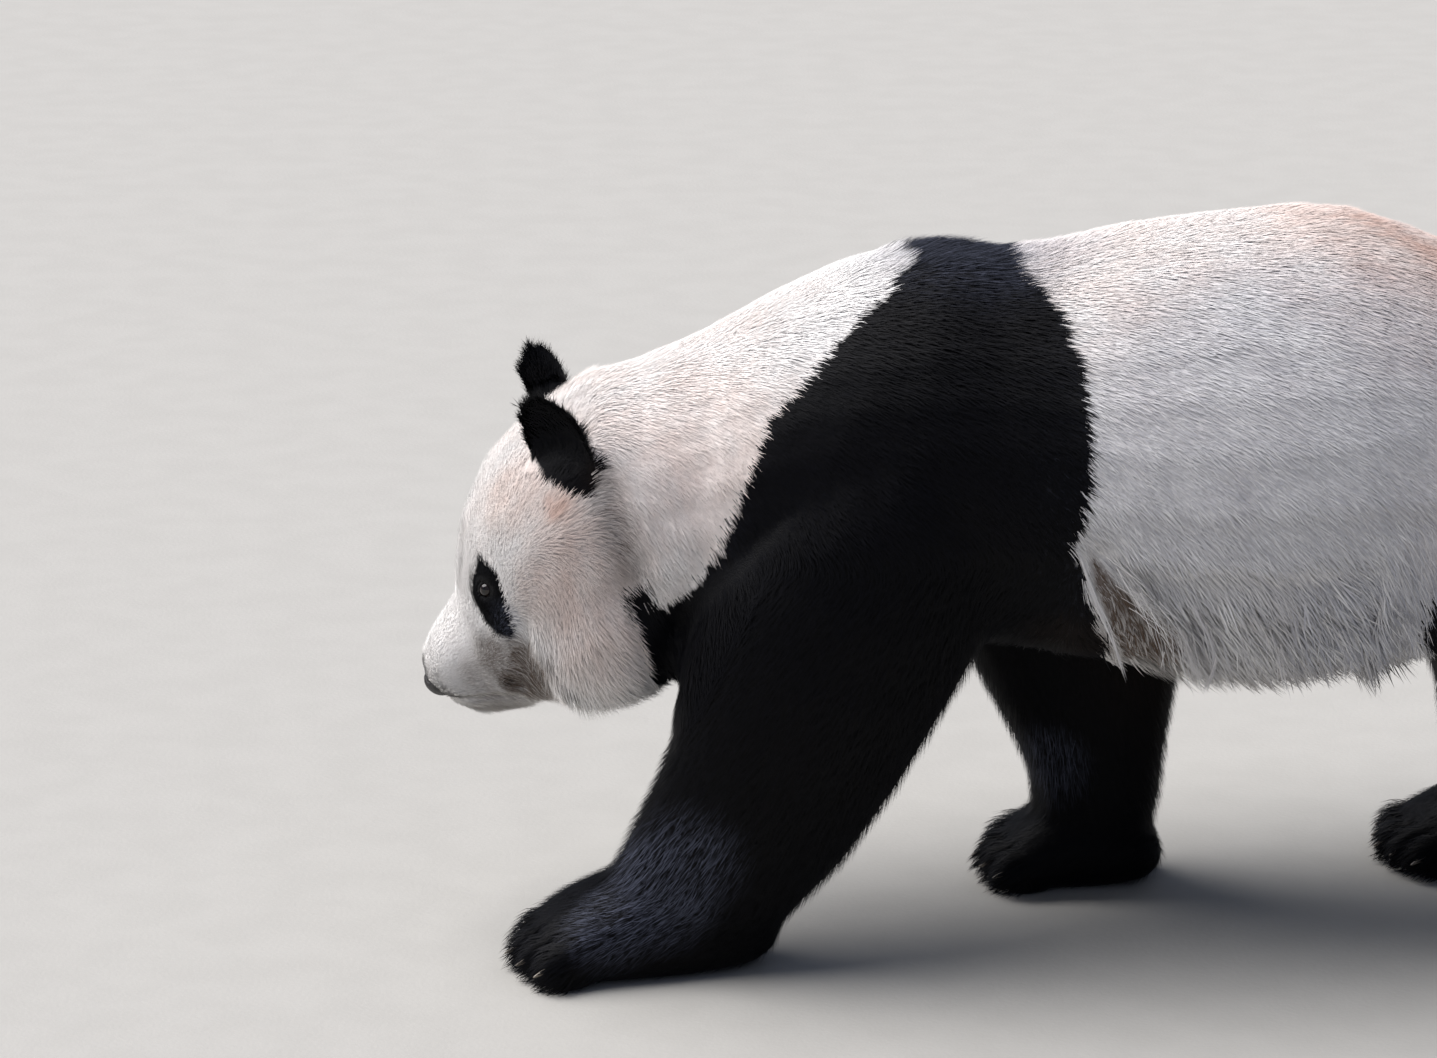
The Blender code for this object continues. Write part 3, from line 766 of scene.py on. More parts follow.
# Tints: where the coat is warm, where it is brown with stains and painted shade, and where it is grey with
# dust, painted shade and painted sheen, as (place, full, gone, strength)
tints = {
    "warm": [
        ((-0.533, -0.137, 0.506), 0.004, 0.05, 0.8), ((-0.525, -0.148, 0.47), 0.01, 0.075, 0.58),
        ((-0.47, 0.0, 0.5), 0.08, 0.21, 0.28), ((-0.52, -0.15, 0.42), 0.03, 0.1, 0.5),
        ((-0.574, -0.097, 0.52), 0.02, 0.09, 0.4), ((-0.49, -0.152, 0.36), 0.02, 0.09, 0.42),
        ((-0.4, -0.16, 0.56), 0.05, 0.22, 0.36), ((-0.4, 0.0, 0.68), 0.05, 0.22, 0.22),
        ((0.4, 0.0, 0.77), 0.04, 0.36, 0.72), ((0.52, -0.12, 0.62), 0.05, 0.3, 0.42),
        ((0.05, -0.05, 0.75), 0.05, 0.3, 0.25),
    ],
    # brown stains round the lower muzzle, with painted shade in the corner of the mouth, behind the elbow
    # and under the belly
    "stainAndShade": [
        ((-0.587, -0.086, 0.301), 0.012, 0.026, 1.0), ((-0.602, -0.084, 0.328), 0.016, 0.042, 0.7),
        ((-0.567, -0.112, 0.328), 0.022, 0.04, 1.0), ((-0.578, -0.098, 0.302), 0.018, 0.032, 1.0),
        ((-0.555, -0.092, 0.298), 0.022, 0.04, 1.0), ((-0.582, -0.111, 0.344), 0.01, 0.026, 0.75),
        ((-0.617, -0.062, 0.302), 0.012, 0.036, 0.48), ((-0.592, -0.052, 0.268), 0.012, 0.05, 0.55),
        ((-0.01, -0.19, 0.335), 0.04, 0.09, 0.6), ((0.2, 0.0, 0.29), 0.08, 0.24, 0.58),
    ],
    # grey: on the white, painted blue-grey shade on the lower flank and the neck, with some dust; on the
    # black, painted bluish sheen with some dust, mostly on the forelegs and the top of the band
    "dustShadeSheen": [
        ((0.12, -0.255, 0.37), 0.05, 0.2, 0.55), ((0.3, -0.25, 0.36), 0.06, 0.22, 0.8),
        ((0.22, -0.27, 0.54), 0.2, 0.33, 0.5),
        ((-0.44, -0.185, 0.105), 0.03, 0.085, 1.0), ((-0.412, -0.205, 0.138), 0.02, 0.08, 0.75),
        ((-0.49, -0.185, 0.07), 0.02, 0.065, 0.85), ((-0.592, -0.11, 0.378), 0.01, 0.03, 0.6),
        ((0.0, 0.088, 0.14), 0.02, 0.06, 0.6), ((-0.09, 0.0, 0.76), 0.05, 0.17, 0.62),
        ((-0.43, -0.165, 0.5), 0.01, 0.1, 0.2),
    ],
}
# Painted shade as brown streaks in the crease behind the cheek and between the locks of the belly, as
# (path, width, strength)
shadeStreaks = [
    ([(-0.492, -0.14, 0.535), (-0.477, -0.154, 0.486), (-0.462, -0.153, 0.437)], 0.02, 0.8),
    ([(0.122, -0.25, 0.402), (0.136, -0.24, 0.37), (0.144, -0.205, 0.335)], 0.0075, 0.85),
    ([(0.207, -0.25, 0.395), (0.225, -0.24, 0.366), (0.24, -0.205, 0.335)], 0.008, 0.75),
    ([(0.166, -0.25, 0.38), (0.182, -0.225, 0.345)], 0.005, 0.6),
    ([(0.285, -0.245, 0.385), (0.302, -0.205, 0.34)], 0.006, 0.55),
]
# The hollow behind the left elbow, drawn from the side as x, height, where the coat is painted dark brown
# as shade and cut short
hollow = ((-0.003, 0.478), (0.03, 0.438), (0.062, 0.414), (0.092, 0.398), (0.108, 0.375), (0.116, 0.32),
          (0.05, 0.322), (0.036, 0.362), (0.016, 0.408), (0.002, 0.44))
hollowFrom = 0.12          # how far off the middle plane it starts
tintWaves = ((0.09, 0.1, 31), (0.022, 0.08, 32))   # length, strength and seed


def hollowDistance(points):
    return np.minimum(outlineDistance(points, hollow), -points[:, 1] - hollowFrom)


def tintOf(kind, points):
    total = np.zeros(len(points))
    for place, full, gone, strength in tints[kind]:
        for spot in bothSides(place) if place[1] else [np.array(place)]:
            total = np.maximum(total, strength * nearness(points, spot, full, gone))
    if kind == "stainAndShade":
        left = leftSide(points)
        for path, width, strength in shadeStreaks:
            total = np.maximum(total, strength * bell(distanceToPath(left, path), width))
        # the hollow behind the elbow is painted dark brown as shade
        total = np.maximum(total, ease(hollowDistance(points), -0.004, 0.006))
    waves = sum(wobble(points, size, seed)[:, 0] * strength for size, strength, seed in tintWaves)
    return np.clip(total * (1 + waves) + (waves * 0.5 if kind == "warm" else 0), 0, 1)


def allTints(points):
    return {kind: tintOf(kind, points) for kind in tints}


# The lie of the coat: which way the tufts run over each part
lieOf = {
    "cheek": (0.42, 0.0, -1.0),
    "cheekStart": (-0.595, -0.535),
    "cheekTop": (0.4, 0.52),
    "nape": (1.0, 0.0, -0.75),
    "napeStart": (-0.525, -0.455),
    "ruff": (0.1, 0.0, -1.0),
    "ruffWidth": 0.018,
    "paw": (-1.0, 0.0, -0.45),
    "tail": (0.35, 0.0, -1.0),
    "earFoot": (0.9, 0.5, 0.05),   # where the hair of an ear starts, in its box
    "parting": 0.22,           # how far the hair of the back falls to its own side
    "partingWidth": 0.05,
    "drop": (0.58, 2.0),       # how steeply it falls, on the back and below
    "dropHeights": (0.3, 0.9),     # as shares of the height of the back
}


def wayOf(part):
    return unit(np.array(lieOf[part]))


def lieAt(points, names):
    kinds = np.array([kindOf(name) for name in names])
    least, more = lieOf["drop"]
    drop = least + more * (1 - ease(points[:, 2] / crownHeight, *lieOf["dropHeights"])) ** 1.5
    side = np.tanh(points[:, 1] / lieOf["partingWidth"]) * lieOf["parting"]
    flow = unit(np.stack([np.ones(len(points)), side, -drop], axis=1))
    face = unit(points - noseCentre)
    cheek = ease(points[:, 0], *lieOf["cheekStart"]) * (1 - ease(points[:, 2], *lieOf["cheekTop"]))
    nape = ease(points[:, 0], *lieOf["napeStart"])
    ruff = bell(ruffDistance(points), lieOf["ruffWidth"])
    for part, share in (("cheek", cheek), ("nape", nape), ("ruff", ruff)):
        face = face + (wayOf(part) - face) * share[:, None]
    isFace = np.isin(kinds, faceKinds)
    flow[isFace] = unit(face)[isFace]
    for name in ("ear_left", "ear_right"):
        flow[names == name] = unit(points[names == name] - within(name, lieOf["earFoot"]))
    for leg in legNames:
        for part in ("_upper", "_lower"):
            flow[names == leg + part] = unit(middle(leg + "_paw") - middle(leg + "_upper"))
    for part in ("paw", "tail"):
        flow[kinds == part] = wayOf(part)
    return flow


# What every piece of coat keeps at its points, and the tones that the paint makes of it
coatFields = ("mark", "warm", "stainAndShade", "dustShadeSheen", "along", "tint")
coatTones = {
    "white": tone(253, 251, 247),
    "cream": tone(249, 234, 225),
    "tan": tone(226, 186, 168),
    # brown of stains and of painted shade in hollows, creases and between locks
    "stainAndShade": tone(74, 54, 35),
    # blue-grey of painted shade and dust on the white
    "dustShadeSheen": tone(142, 148, 164),
    # painted bluish sheen on the black, with dust
    "blackDustSheen": tone(84, 88, 103),
    # painted shade at the roots of the white tufts
    "root": tone(204, 192, 184),
    "black": tone(4, 4, 7),
    # painted bluish sheen at the tips of the black tufts
    "blackSheenTip": tone(10, 11, 17),
    "blackRoot": tone(6, 6, 6),
}


coatLook = {
    "drift": 11.0,             # scale of the slow changes of tone
    "cream": (0.05, 0.6),      # warmth where a tone starts and is full
    "tan": (0.35, 1.0),
    "dustShadeShare": 0.75,
    "rootShadeShare": 0.16,         # how much darker the white is: at its roots as painted shade deep in the coat, and at random by tuft and in strands
    "tuftShare": 0.09,
    "strandShare": 0.05,
    "stainShadeOnBlack": 0.16,
    "rough": 0.78,
    "blackSheen": 0.26,        # how much smoother the black is
}


def coatPaint(name, grain, relief, **finish):
    paint = Paint(name)
    mark, warm, stainAndShade, dustShadeSheen, tip, tint = (paint.value(field) for field in coatFields)
    drift = paint.noise(coatLook["drift"], 3.0)
    strands = paint.noise(grain, 2.0)
    creamy = paint.soft(warm + drift * 0.2, *coatLook["cream"])
    white = paint.mix(creamy, coatTones["white"], coatTones["cream"])
    white = paint.mix(paint.soft(warm, *coatLook["tan"]), white, coatTones["tan"])
    # painted blue-grey shade and dust
    white = paint.mix(dustShadeSheen * coatLook["dustShadeShare"], white, coatTones["dustShadeSheen"])
    # brown stains and painted shade, less at the tips
    white = paint.mix(stainAndShade * (1.0 - tip * 0.25), white, coatTones["stainAndShade"])
    # painted shade at the roots, and tone that differs at random by tuft and in strands
    shade = (1.0 - paint.soft(tip, 0.0, 0.7)) * coatLook["rootShadeShare"]
    shade = shade + tint * coatLook["tuftShare"] + strands * coatLook["strandShare"]
    white = paint.mix(shade, white, coatTones["root"])
    # painted bluish sheen towards the tips of the black, none at the roots
    black = paint.mix(paint.soft(tip * 0.7 + tint * 0.5 + drift * 0.3, 0.5, 1.4), coatTones["black"],
                      coatTones["blackSheenTip"])
    black = paint.mix(1.0 - paint.soft(tip, 0.0, 0.6), black, coatTones["blackRoot"])
    # painted bluish sheen with some dust on the black
    black = paint.mix(dustShadeSheen * paint.soft(tip + tint, 0.5, 1.6) * 0.9, black, coatTones["blackDustSheen"])
    # a little of the brown of stains and painted shade on the black
    black = paint.mix(stainAndShade * coatLook["stainShadeOnBlack"], black, coatTones["stainAndShade"])
    rough = coatLook["rough"] - mark * coatLook["blackSheen"] + strands * 0.1
    return paint.finish(Base_Color=paint.mix(mark, white, black), Roughness=rough,
                        Normal=paint.bump(paint.noise(grain * 1.7, 3.0), relief), **finish)


# The skin under the coat
def buildSkin():
    skin = joinedFlesh()
    refineFace(skin)
    points = pointsOf(skin.data)
    normals = normalsOf(skin.data)
    edges = edgesOf(skin.data)
    names = nearestNames(points)
    depth, length, width = coatSizes(points, normals, names, edges)
    points = partToes(foldSkin(points, normals), normals)
    points, groove = carveMouth(points - normals * depth[:, None], normals)
    points = clearEyes(points)
    inNose = lengthOf((points - noseCentre) / skinSize["noseRoom"]) < 1.0
    points[inNose] = noseCentre + (points[inNose] - noseCentre) * skinSize["noseSink"]
    points[:, 2] = np.maximum(points[:, 2], 0.0)
    setPoints(skin.data, points)
    skin.data.update()
    bare = np.maximum(groove * 0.9, inNose)
    for centre in eyeCentres.values():
        bare = np.maximum(bare, nearness(points, centre, *skinSize["bareEye"]))
    sole = (normals[:, 2] < skinSize["soleFacing"]) * (points[:, 2] < skinSize["soleHeight"])
    flow = relaxed(lieAt(points, names), edges, 12)
    return skin, names, edges, np.column_stack([depth, length, width, np.maximum(bare, sole), groove]), flow


def sharesOf(names, edges):
    # how far each point belongs to a foreleg, a lower hind leg, an ear or the head
    tests = [
        ([name.startswith("foreleg") for name in names], 14),
        ([name.startswith("hindleg") and not name.endswith("upper") for name in names], 14),
        ([name.startswith("ear") for name in names], 2),
        ([name in faceKinds for name in names], 3),
    ]
    return np.hstack([relaxed(np.array(test, float)[:, None], edges, times) for test, times in tests])


skinLook = {
    "markEdge": 0.002,     # over which white turns to black
    "darkEye": (0.016, 0.018),
    "darkMouth": 0.6,
    "along": 0.35,         # its tone, as a share of a tuft's length, so it takes part of the roots' painted shade
    "tintSize": 0.01,
}


def dressSkin(skin, shares, groove):
    points = pointsOf(skin.data)
    dark = np.clip(blackness(points, *shares.T) / skinLook["markEdge"] + 0.5, 0, 1)
    for centre in eyeCentres.values():
        dark = np.maximum(dark, nearness(points, centre, *skinLook["darkEye"]))
    keepFields(skin.data, mark=np.maximum(dark, groove * skinLook["darkMouth"]),
               along=np.full(len(points), skinLook["along"]),
               tint=0.5 + 0.5 * wobble(points, skinLook["tintSize"], 41)[:, 0], **allTints(points))


def unwrap(piece):
    piece.data.uv_layers.new(name="OFBake")
    settings = {"angle_limit": 1.15, "island_margin": 0.004, "scale_to_bounds": True}
    edited(piece, (bpy.ops.uv.smart_project, settings))


def unwrapOf(points, triangles):
    # where each corner of these triangles falls on an unwrap of their own
    used, index = np.unique(triangles, return_inverse=True)
    cutout = meshPiece("cutout", points[used], index.reshape(-1, 3))
    unwrap(cutout)
    mesh = cutout.data
    corners = readOut(mesh.uv_layers["OFBake"].data, "uv", 2)
    bpy.data.objects.remove(cutout)
    bpy.data.meshes.remove(mesh)
    return corners.reshape(-1, 3, 2)


skin, skinNames, skinEdges, skinCoat, skinFlow = buildSkin()
skinShares = sharesOf(skinNames, skinEdges)
skinPoints = pointsOf(skin.data)
skinNormals = normalsOf(skin.data)
skinTriangles = trianglesOf(skin.data)
skinFlow = squareTo(skinNormals, skinFlow)
skinFields = np.column_stack([skinPoints, skinNormals, skinFlow, skinCoat[:, :4], skinShares])
print("skin:", len(skinTriangles), "triangles")

# Tufts
tuftSize = {
    "patch": 0.003,        # each tuft's patch of the bake map
    "sink": 0.0012,        # how far a root stands under the skin
    "flatness": 0.12,
    "spread": 0.14,        # how far tufts stray from the lie, in radians
    "swirl": 0.06,
    "swirlSize": 0.034,
    "clumpSize": 0.017,
    "lengths": (0.7, 1.22),
    "ring": 0.06,          # how round the light falls over a tuft
    "ownLight": 0.15,      # how far a tuft's own slant shows
    "raggedEdge": 0.0065,  # how far black and white tufts mix where they meet
    "floor": 0.0012,
    "widths": (0.8, 1.25),
    "lifts": (0.85, 1.12),
    "liftStray": 0.02,
    "liftRange": (0.1, 0.8),
    "uneven": (0.05, 0.14),       # length and strength of the waves in the coat's length
    "earRoom": 0.006,             # a tuft of the head that ends this near to an ear is cut short
    "earCut": 0.35,
    "hollowEdge": (-0.002, 0.014),
    "hollowCut": 0.45,
    "raggedLength": 0.027,        # a tuft this long is as ragged as raggedEdge says
    "raggedRange": (0.15, 1.2),
    "trunkFrom": (-0.15, 0.25),   # x and height from where black hair takes its painted sheen along the back only
    "trunkSheenHeights": (0.61, 0.76),
    "quick": 6,
}
# The skin's fields in their columns
fieldColumns = {"root": slice(0, 3), "normal": slice(3, 6), "flow": slice(6, 9), "coat": slice(9, 12),
                "length": 10, "width": 11, "bare": 12, "shares": slice(13, 17)}


def scattered(fields, points, count, rng):
    # roots spread so that the coat is as thick everywhere, as triangles and shares of their corners
    a, b, c = (points[:, k] for k in range(3))
    area = lengthOf(np.cross(b - a, c - a))
    means = fields.mean(axis=1)
    need = area / (means[:, fieldColumns["length"]] * means[:, fieldColumns["width"]])
    reach = np.cumsum(need * (1 - means[:, fieldColumns["bare"]]).clip(0, 1))
    picks = (np.arange(count) + rng.random(count)) / count * reach[-1]
    face = np.searchsorted(reach, picks).clip(0, len(reach) - 1)
    first, second = rng.random((2, count))
    over = first + second > 1
    first[over] = 1 - first[over]
    second[over] = 1 - second[over]
    return face, np.stack([1 - first - second, first, second], axis=1)


def tuftMesh(name, roots, normals, heading, length, width, rings, lift, droop):
    # every tuft is a three sided spike of so many rings, closed at its root, that ends in a point
    count = len(roots)
    rise = np.sin(lift)[:, None]
    run = np.cos(lift)[:, None]
    down = np.array([0.0, 0.0, -1.0])
    steps = np.linspace(0, 1, rings + 1)
    centres = []
    for s in steps:
        climb = rise * (s if rings == 1 else (s - 0.45 * s * s) / 0.55)
        way = heading * run * s + normals * climb + down * (droop * s * s)
        centres.append(roots + length[:, None] * way)
    centres = np.stack(centres, axis=1)
    course = unit(centres[:, -1] - centres[:, 0])
    upward = squareTo(course, normals)
    across = np.cross(upward, course)
    points = np.empty((count, rings * 3 + 1, 3))
    shading = np.empty_like(points)
    soft = unit(upward * tuftSize["ownLight"] + normals)
    for k in range(rings):
        half = width[:, None] * 0.5 * (1 - steps[k]) ** 0.6
        points[:, 3 * k] = centres[:, k] - across * half
        points[:, 3 * k + 1] = centres[:, k] + across * half
        points[:, 3 * k + 2] = centres[:, k] + upward * half * 2 * tuftSize["flatness"]
        shading[:, 3 * k] = unit(soft - across * tuftSize["ring"])
        shading[:, 3 * k + 1] = unit(soft + across * tuftSize["ring"])
        shading[:, 3 * k + 2] = soft
    points[:, -1] = centres[:, -1]
    shading[:, -1] = soft
    points[:, :3] -= normals[:, None] * tuftSize["sink"]
    points[:, :, 2] = np.maximum(points[:, :, 2], tuftSize["floor"])
    faces = [(0, 2, 1)]
    for k in range(0, 3 * (rings - 1), 3):
        for i in range(3):
            j = (i + 1) % 3
            faces += [(k + i, k + j, k + 3 + j), (k + i, k + 3 + j, k + 3 + i)]
    last = 3 * (rings - 1)
    faces += [(last, last + 1, last + 3), (last + 1, last + 2, last + 3), (last + 2, last, last + 3)]
    size = rings * 3 + 1
    triangles = (np.array(faces)[None] + (np.arange(count) * size)[:, None, None]).reshape(-1, 3)
    piece = meshPiece(name, points.reshape(-1, 3), triangles)
    piece.data.normals_split_custom_set_from_vertices(shading.reshape(-1, 3))
    return piece, triangles


def patchPlaces(spots, rings):
    # the corners of every tuft on the bake map, root below and tip above
    half = tuftSize["patch"] / 2
    offsets = []
    for k in range(rings):
        level = -half + 2 * half * k / rings
        offsets += [(-half, level), (half, level), (0, level + half * 0.3)]
    offsets.append((0, half))
    return np.clip(spots[:, None] + np.array(offsets)[None], 0, 1)


def dressTufts(piece, triangles, mark, places, tint, spots, rings, stainShadeShare=1.0):
    # what the paint reads, and the bake map
    size = rings * 3 + 1
    fields = allTints(places)
    # stains and painted shade, more on some tufts than others
    fields["stainAndShade"] *= (0.5 + tint) * stainShadeShare
    # black hair of the trunk takes its painted sheen only high on the back
    x, height = tuftSize["trunkFrom"]
    trunk = (mark > 0.5) & (places[:, 0] > x) & (places[:, 2] > height)
    fields["dustShadeSheen"] *= (0.5 + tint) * np.where(trunk, ease(places[:, 2], *tuftSize["trunkSheenHeights"]), 1)
    keepFields(piece.data, size, mark=mark, tint=tint, **fields)
    rise = [k / rings for k in range(rings) for _ in range(3)] + [1.0]
    keepFields(piece.data, along=np.tile(rise, len(places)))
    layer = piece.data.uv_layers.new(name="OFBake")
    corners = patchPlaces(spots, rings).reshape(-1, 2)[triangles.ravel()]
    layer.data.foreach_set("uv", corners.astype(np.float32).ravel())
    print(piece.name, len(triangles), "triangles")


def rooted(where, count, rng):
    # the skin's fields at each root, and the root's place on an unwrap
    chosen = skinTriangles[where]
    fields = skinFields[chosen]
    face, share = scattered(fields, skinPoints[chosen], count, rng)
    places = unwrapOf(skinPoints, chosen)
    return [np.einsum("nk,nkf->nf", share, values[face]) for values in (fields, places)]


def growTufts(name, where, count, seed, special):
    plan = usual | special
    rng = np.random.default_rng(seed)
    count = count // 1
    fields, spots = rooted(where, count, rng)
    roots = fields[:, fieldColumns["root"]]
    normals = unit(fields[:, fieldColumns["normal"]])
    swirl = wobble(roots, tuftSize["swirlSize"], 51) * tuftSize["swirl"]
    heading = fields[:, fieldColumns["flow"]] + swirl + rng.normal(size=roots.shape) * tuftSize["spread"]
    heading = squareTo(normals, heading + wobble(roots, tuftSize["clumpSize"], 53) * plan["clump"])
    depth, length, width = fields[:, fieldColumns["coat"]].T
    lift = np.arcsin(np.clip(depth / length * plan["lift"], *tuftSize["liftRange"]))
    lift = lift * rng.uniform(*tuftSize["lifts"], count) + rng.normal(size=count) * tuftSize["liftStray"]
    length = length * rng.uniform(*tuftSize["lengths"], count) * plan["longer"]
    size, strength = tuftSize["uneven"]
    length = length * (1 + strength * wobble(roots, size, 52)[:, 0])
    width = width * rng.uniform(*tuftSize["widths"], count) * plan["wider"] * 1.0
    if plan["heading"]:
        stray = rng.normal(size=roots.shape) * tuftSize["spread"]
        heading = squareTo(normals, np.array(plan["heading"]) + stray)
    if plan["clearEars"]:
        tips = roots + (heading * np.cos(lift)[:, None] + normals * np.sin(lift)[:, None]) * length[:, None]
        near = np.minimum(distancesTo("ear_left", tips), distancesTo("ear_right", tips))
        length[near < tuftSize["earRoom"]] *= tuftSize["earCut"]
    over = hollowDistance(roots + heading * length[:, None]) > rng.uniform(*tuftSize["hollowEdge"], count)
    over |= hollowDistance(roots + heading * length[:, None] * 0.5) > 0
    length[over] *= tuftSize["hollowCut"]
    piece, triangles = tuftMesh(name, roots, normals, heading, length, width, plan["rings"], lift,
                                plan["droop"])
    covered = roots + heading * (length * marking["tipShare"])[:, None]
    ragged = tuftSize["raggedEdge"] * np.clip(length / tuftSize["raggedLength"], *tuftSize["raggedRange"])
    edge = blackness(covered, *fields[:, fieldColumns["shares"]].T) + rng.uniform(-1, 1, count) * ragged
    mark = (edge + plan["blacker"] > 0) * 1.0
    dressTufts(piece, triangles, mark, covered, rng.random(count), spots, plan["rings"])
    return piece


triangleNames = skinNames[skinTriangles[:, 0]]
triangleKinds = np.array([kindOf(name) for name in triangleNames])
triangleMiddles = skinPoints[skinTriangles].mean(axis=1)
leftHalf = triangleMiddles[:, 1] < 0
isHead = np.isin(triangleKinds, faceKinds)
isLimb = np.isin(triangleKinds, ("upper", "lower", "paw"))
isFore = isLimb & np.char.startswith(triangleNames, "foreleg")
isHind = isLimb & np.char.startswith(triangleNames, "hindleg")
isBelly = triangleKinds == "belly"
isRump = np.isin(triangleKinds, ("rump", "tail"))

# Where the shorter pieces grow
growth = {
    "ruffReach": 0.022,
    "ruffBehind": (0.001, 0.017),    # the ruff's edge
    "ruffHeights": (0.312, 0.366),
    "toeReach": 0.034,
    "fringeTop": (0.425, 0.03, 0.04),    # height, and how far and how long its waves are
    "fringeStart": 0.02,
    "underchestTop": 0.33,
}


def between(values, limits):
    return (values > limits[0]) & (values < limits[1])


heights = triangleMiddles[:, 2]
nearRuff = (ruffDistance(triangleMiddles) < growth["ruffReach"]) & between(heights, growth["ruffHeights"])
nearRuff &= between(ruffAhead(triangleMiddles), growth["ruffBehind"])
clawNames = [name for leg in legNames for name in clawsOf(leg)]
toClaws = np.min([lengthOf(triangleMiddles - middle(name)) for name in clawNames], axis=0)
nearClaws = (toClaws < growth["toeReach"]) & (triangleKinds == "paw")
fringeTop, waveHeight, waveLength = growth["fringeTop"]
fringeTop = fringeTop + wobble(triangleMiddles, waveLength, 61)[:, 0] * waveHeight
lowBelly = isBelly & (heights < fringeTop) & (triangleMiddles[:, 0] > growth["fringeStart"])
lowChest = (triangleKinds == "chest") & (heights < growth["underchestTop"])

# What a piece's tufts do unless their plan says otherwise
usual = {
    "rings": 1,
    "longer": 1.0,
    "wider": 1.0,
    "lift": 1.0,
    "droop": 0.0,
    "clump": 0.0,
    "blacker": 0.0,
    "heading": None,
    "clearEars": False,
}
# Each piece as (name, where it grows, tufts, slot, what is special about it)
coatPlans = [
    ("coat_head_left", isHead & leftHalf, 40000, "coat_white", {"clearEars": True}),
    ("coat_head_right", isHead & ~leftHalf, 31000, "coat_white", {"clearEars": True, "wider": 1.12}),
    ("coat_ruff", isHead & nearRuff, 4200, "coat_white",
     {"rings": 2, "droop": 0.1, "longer": 1.05, "wider": 1.1, "lift": 0.95, "heading": lieOf["ruff"]}),
    ("coat_toes", nearClaws, 5200, "coat_black",
     {"rings": 2, "droop": 0.12, "longer": 1.35, "wider": 1.15, "lift": 1.7}),
    ("coat_ears", triangleKinds == "ear", 9000, "coat_black", {"blacker": 1.0}),
    ("coat_neck", triangleKinds == "neck", 42000, "coat_white", {"lift": 0.6}),
    ("coat_shoulders", triangleKinds == "chest", 36000, "coat_black", {}),
    ("coat_flank_left", isBelly & leftHalf, 34000, "coat_white", {"lift": 0.65}),
    ("coat_flank_right", isBelly & ~leftHalf, 29000, "coat_white", {"lift": 0.65, "wider": 1.08}),
    ("coat_rump", isRump, 31000, "coat_white", {"lift": 0.65, "wider": 1.08}),
    ("coat_forelegs", isFore, 46000, "coat_black", {}),
    ("coat_hindlegs", isHind, 29500, "coat_black", {"wider": 1.07}),
    ("coat_fringe", lowBelly, 5600, "coat_white",
     {"rings": 3, "droop": 0.14, "longer": 1.15, "wider": 1.2, "lift": 0.75, "clump": 0.5}),
    ("coat_underchest", lowChest, 2600, "coat_black",
     {"rings": 2, "droop": 0.2, "longer": 1.2, "wider": 1.2, "clump": 0.4}),
]
tuftPaint = coatPaint("coat", 420.0, 0.0001, Sheen_Weight=0.02, Sheen_Roughness=0.45,
                      Specular_IOR_Level=0.1)
skinPaint = coatPaint("skin_coat", 300.0, 0.0007, Sheen_Weight=0.02, Specular_IOR_Level=0.1)
for seed, (name, where, count, slotName, special) in enumerate(coatPlans, 100):
    finished(growTufts(name, where, count, seed, special), tuftPaint, slotName)

# Long locks as (path, strands, reach): the first ones hang behind the left elbow, the rest on both sides
wisps = {
    "locks": [
        ([(-0.016, -0.252, 0.48), (-0.004, -0.252, 0.446), (0.007, -0.248, 0.416), (0.02, -0.24, 0.392),
          (0.03, -0.225, 0.362), (0.04, -0.212, 0.334)], 26, 0.0011),
        ([(0.006, -0.259, 0.482), (0.02, -0.261, 0.464), (0.04, -0.263, 0.44), (0.066, -0.26, 0.418),
          (0.092, -0.254, 0.396), (0.104, -0.242, 0.366), (0.112, -0.222, 0.334)], 54, 0.0068),
        ([(0.088, -0.268, 0.44), (0.104, -0.267, 0.42), (0.118, -0.261, 0.396), (0.127, -0.248, 0.368),
          (0.129, -0.23, 0.342), (0.122, -0.206, 0.316)], 44, 0.0014),
        ([(0.04, -0.262, 0.448), (0.066, -0.258, 0.404), (0.082, -0.246, 0.368), (0.09, -0.225, 0.336)],
         26, 0.0075),
        ([(0.15, -0.268, 0.425), (0.18, -0.262, 0.388), (0.198, -0.24, 0.35), (0.204, -0.218, 0.325)],
         44, 0.005),
        ([(0.23, -0.268, 0.415), (0.258, -0.258, 0.38), (0.276, -0.236, 0.345)], 40, 0.005),
        ([(0.305, -0.26, 0.415), (0.33, -0.246, 0.38), (0.342, -0.224, 0.35)], 36, 0.005),
    ],
    "leftOnly": 4,
    "latest": 0.74,        # share of the path where the last strands start
    "run": 0.3,            # share of the path that a strand covers
    "runs": (0.8, 1.15),
    "width": 0.001,
    "widths": (0.8, 1.4),
    "rings": 4,
    "lift": 0.03,
    "droop": 0.09,
    "narrowing": 0.5,      # how much closer the strands start at a lock's tip
    "gather": 0.45,        # how far a lock narrows along each strand
    "stainShadeShare": 0.12,
    "seed": 301,
}


def placesAlong(path, shares):
    steps = np.concatenate([[0], np.cumsum(lengthOf(np.diff(path, axis=0)))])
    return np.stack([np.interp(shares * steps[-1], steps, path[:, k]) for k in range(3)], axis=1)


